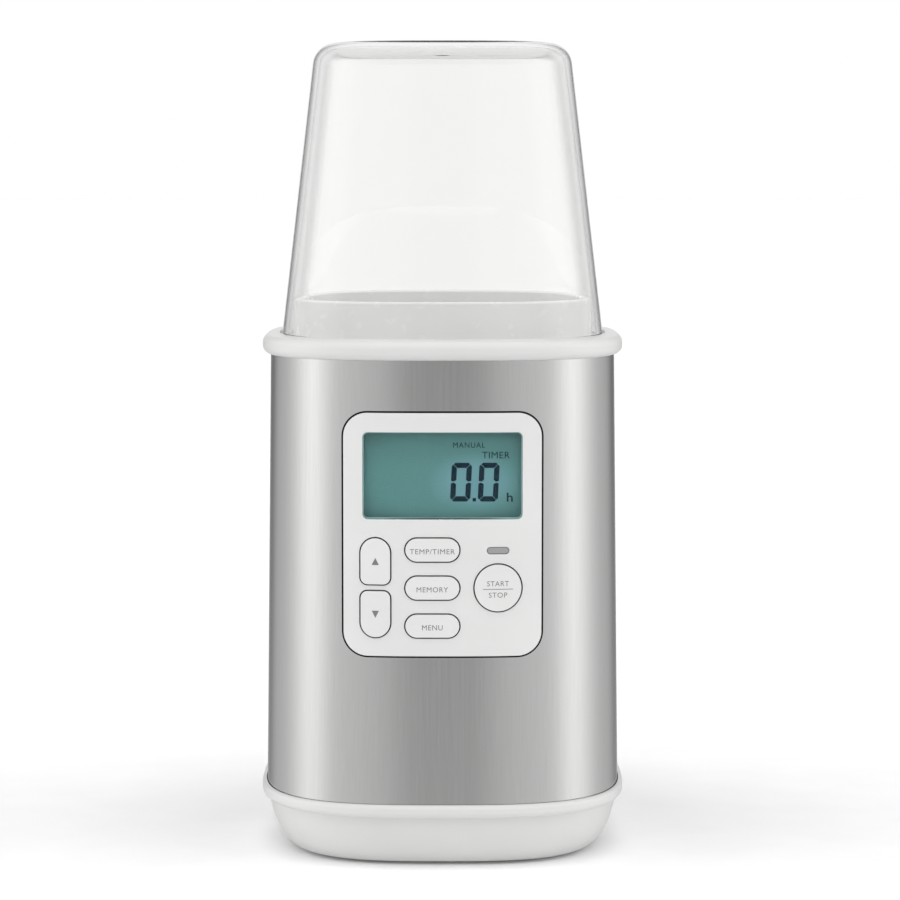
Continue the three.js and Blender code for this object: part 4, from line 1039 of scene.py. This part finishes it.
def printed_shape(name, outline, x, z, y_at, material, body):
    """A flat printed outline on the surface y_at(x, z)."""
    bm = bmesh.new()
    rows = []
    for lift in (-PRINT_THICK, PRINT_THICK):
        rows.append([bm.verts.new((x + px, y_at(x + px, z + pz) + lift, z + pz))
                     for px, pz in outline])
    bm.faces.new(rows[0])
    bm.faces.new(reversed(rows[1]))
    for k in range(len(outline)):
        n = (k + 1) % len(outline)
        bm.faces.new((rows[0][k], rows[1][k], rows[1][n], rows[0][n]))
    piece = link(name, finish_mesh(bm, name), material)
    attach(piece, body)
    return piece


def key_face(x, z):
    return front_y(x, z, KEY_PROUD)


LABEL_HEIGHT = 1.7 * MM
LABEL_SPREAD = 1.1
LABEL_DROP = 0.5 * MM     # below the key's middle
START_LIFT = 1.45 * MM
STOP_DROP = 2.35 * MM
RULE_REACH = 4.95 * MM
RULE_DROP = 0.4 * MM
RULE_HALF = 0.11 * MM
ARROW_HALF = 1.2 * MM
LABELS = (("temp_timer", "TEMP/TIMER", 14.9 * MM), ("memory", "MEMORY", 10.4 * MM),
          ("menu", "MENU", 6.8 * MM))


def make_labels():
    for name, text, width in LABELS:
        x, z = key_place(f"{name}_button")[:2]
        printed(f"{name}_label", text, x, z - LABEL_DROP, LABEL_HEIGHT, width, key_face, label_ink,
                f"{name}_key", LABEL_SPREAD)
    x, z = key_place("start_stop_button")[:2]
    body = "start_stop_key"
    printed("start_label", "START", x, z + START_LIFT, LABEL_HEIGHT, 7.2 * MM, key_face, label_ink,
            body, LABEL_SPREAD)
    printed("stop_label", "STOP", x, z - STOP_DROP, LABEL_HEIGHT, 6.1 * MM, key_face, label_ink,
            body, LABEL_SPREAD)
    middle = z - RULE_DROP
    rule = skin("start_stop_rule", x - RULE_REACH, x + RULE_REACH, middle - RULE_HALF,
                middle + RULE_HALF, KEY_PROUD + PRINT_THICK, KEY_PROUD - PRINT_THICK, 12)
    rule.data.materials.append(label_ink)
    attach(rule, body)
    side = ARROW_HALF
    for name, up in (("up", 1), ("down", -1)):
        x, z = key_place(f"{name}_button")[:2]
        triangle = [(-side, -side * up), (side, -side * up), (0, side * up)]
        printed_shape(f"{name}_arrow", triangle, x, z, key_face, label_ink, f"{name}_key")


DIGIT_WIDTH = 6.7 * MM
DIGIT_HEIGHT = 12.9 * MM
DIGIT_SLANT = 0.05
STROKE = 1.75 * MM
STROKE_GAP = 0.1 * MM
STROKE_CORNER = 1.1 * MM
DIGITS_DROP = 2.55 * MM   # below the window's middle
DIGIT_PLACES = (6.15 * MM, 15.3 * MM)
POINT_PLACE = 10.55 * MM
POINT_LIFT = 0.6 * MM
# Name, text, place from the window's middle, height, width, letter spacing, weight.
LEGENDS = (("timer_legend", "TIMER", 17.7 * MM, 6.45 * MM, 2.2 * MM, 9.2 * MM, 1.05, 0.0),
           ("manual_legend", "MANUAL", 8.8 * MM, 9.75 * MM, 1.8 * MM, 10.6 * MM, 1.15, 0.0),
           ("hours_legend", "h", 22.3 * MM, -7.55 * MM, 3.0 * MM, 2.0 * MM, 1.0, 0.015))


def zero_segments():
    """The six lit segments of a seven-segment 0, as outlines about the digit's middle."""
    w, h, t, g, k = DIGIT_WIDTH / 2, DIGIT_HEIGHT / 2, STROKE, STROKE_GAP, STROKE_CORNER
    across = [(-w + k, h), (w - k, h), (w - k / 2 - g, h - k / 2), (w - t - g, h - t),
              (-w + t + g, h - t), (-w + k / 2 + g, h - k / 2)]
    upright = [(w, h - k), (w, 0.45 * MM), (w - t / 2, 0.15 * MM), (w - t, 0.7 * MM),
               (w - t, h - t - g), (w - k / 2, h - k / 2 - g)]
    for sx in (1, -1):
        for sz in (1, -1):
            yield [(sx * x, sz * z) for x, z in upright]
    for sz in (1, -1):
        yield [(x, sz * z) for x, z in across]


def make_display():
    low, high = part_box("lcd_glass")
    width, height = high.x - low.x, high.z - low.z
    outline = rounded_box(width, height, WINDOW_CORNER)
    glass = prism("display_cell", outline, 0, window_z, low.y, high.y)
    glass.data.materials.append(LOOKS["display_glass"])
    soften(glass, 0.1 * MM, 2)
    dress(glass, "housing", "display_glass", "lcd_glass")

    def face(x, z):
        return low.y - PRINT_THICK

    digits_z = window_z - DIGITS_DROP
    for digit, middle in enumerate(DIGIT_PLACES):
        for k, outline in enumerate(zero_segments()):
            slanted = [(x + DIGIT_SLANT * z, z) for x, z in outline]
            printed_shape(f"digit_{digit + 1}_segment_{k + 1}", slanted, middle, digits_z, face,
                          segment_ink, "housing")
    printed_shape("decimal_point", rounded_box(1.15 * MM, 1.2 * MM, 0.15 * MM, 2), POINT_PLACE,
                  digits_z - DIGIT_HEIGHT / 2 + POINT_LIFT, face, segment_ink, "housing")
    for name, text, x, up, height, width, spread, weight in LEGENDS:
        printed(name, text, x, window_z + up, height, width, face, legend_ink, "housing", spread,
                weight)


# ---- Carried-over nodes ----------------------------------------------------------------------

def paint_frame():
    """Gives every CAD node its slot's material; replaced nodes are hidden anyway."""
    for row in frame["record"]["subparts"]:
        node = NODES[row["node"]]
        look = LOOKS[row["material_slot"]]
        if node.material_slots:
            for slot in node.material_slots:
                slot.material = look
        else:
            node.data.materials.append(look)


paint_frame()
make_cover()
make_collar()
make_pot()
make_shell()
make_tub()
make_panel()
for key in KEYS:
    make_key(key, f"{key}_key")
make_lens()
make_window()
make_display()
make_labels()
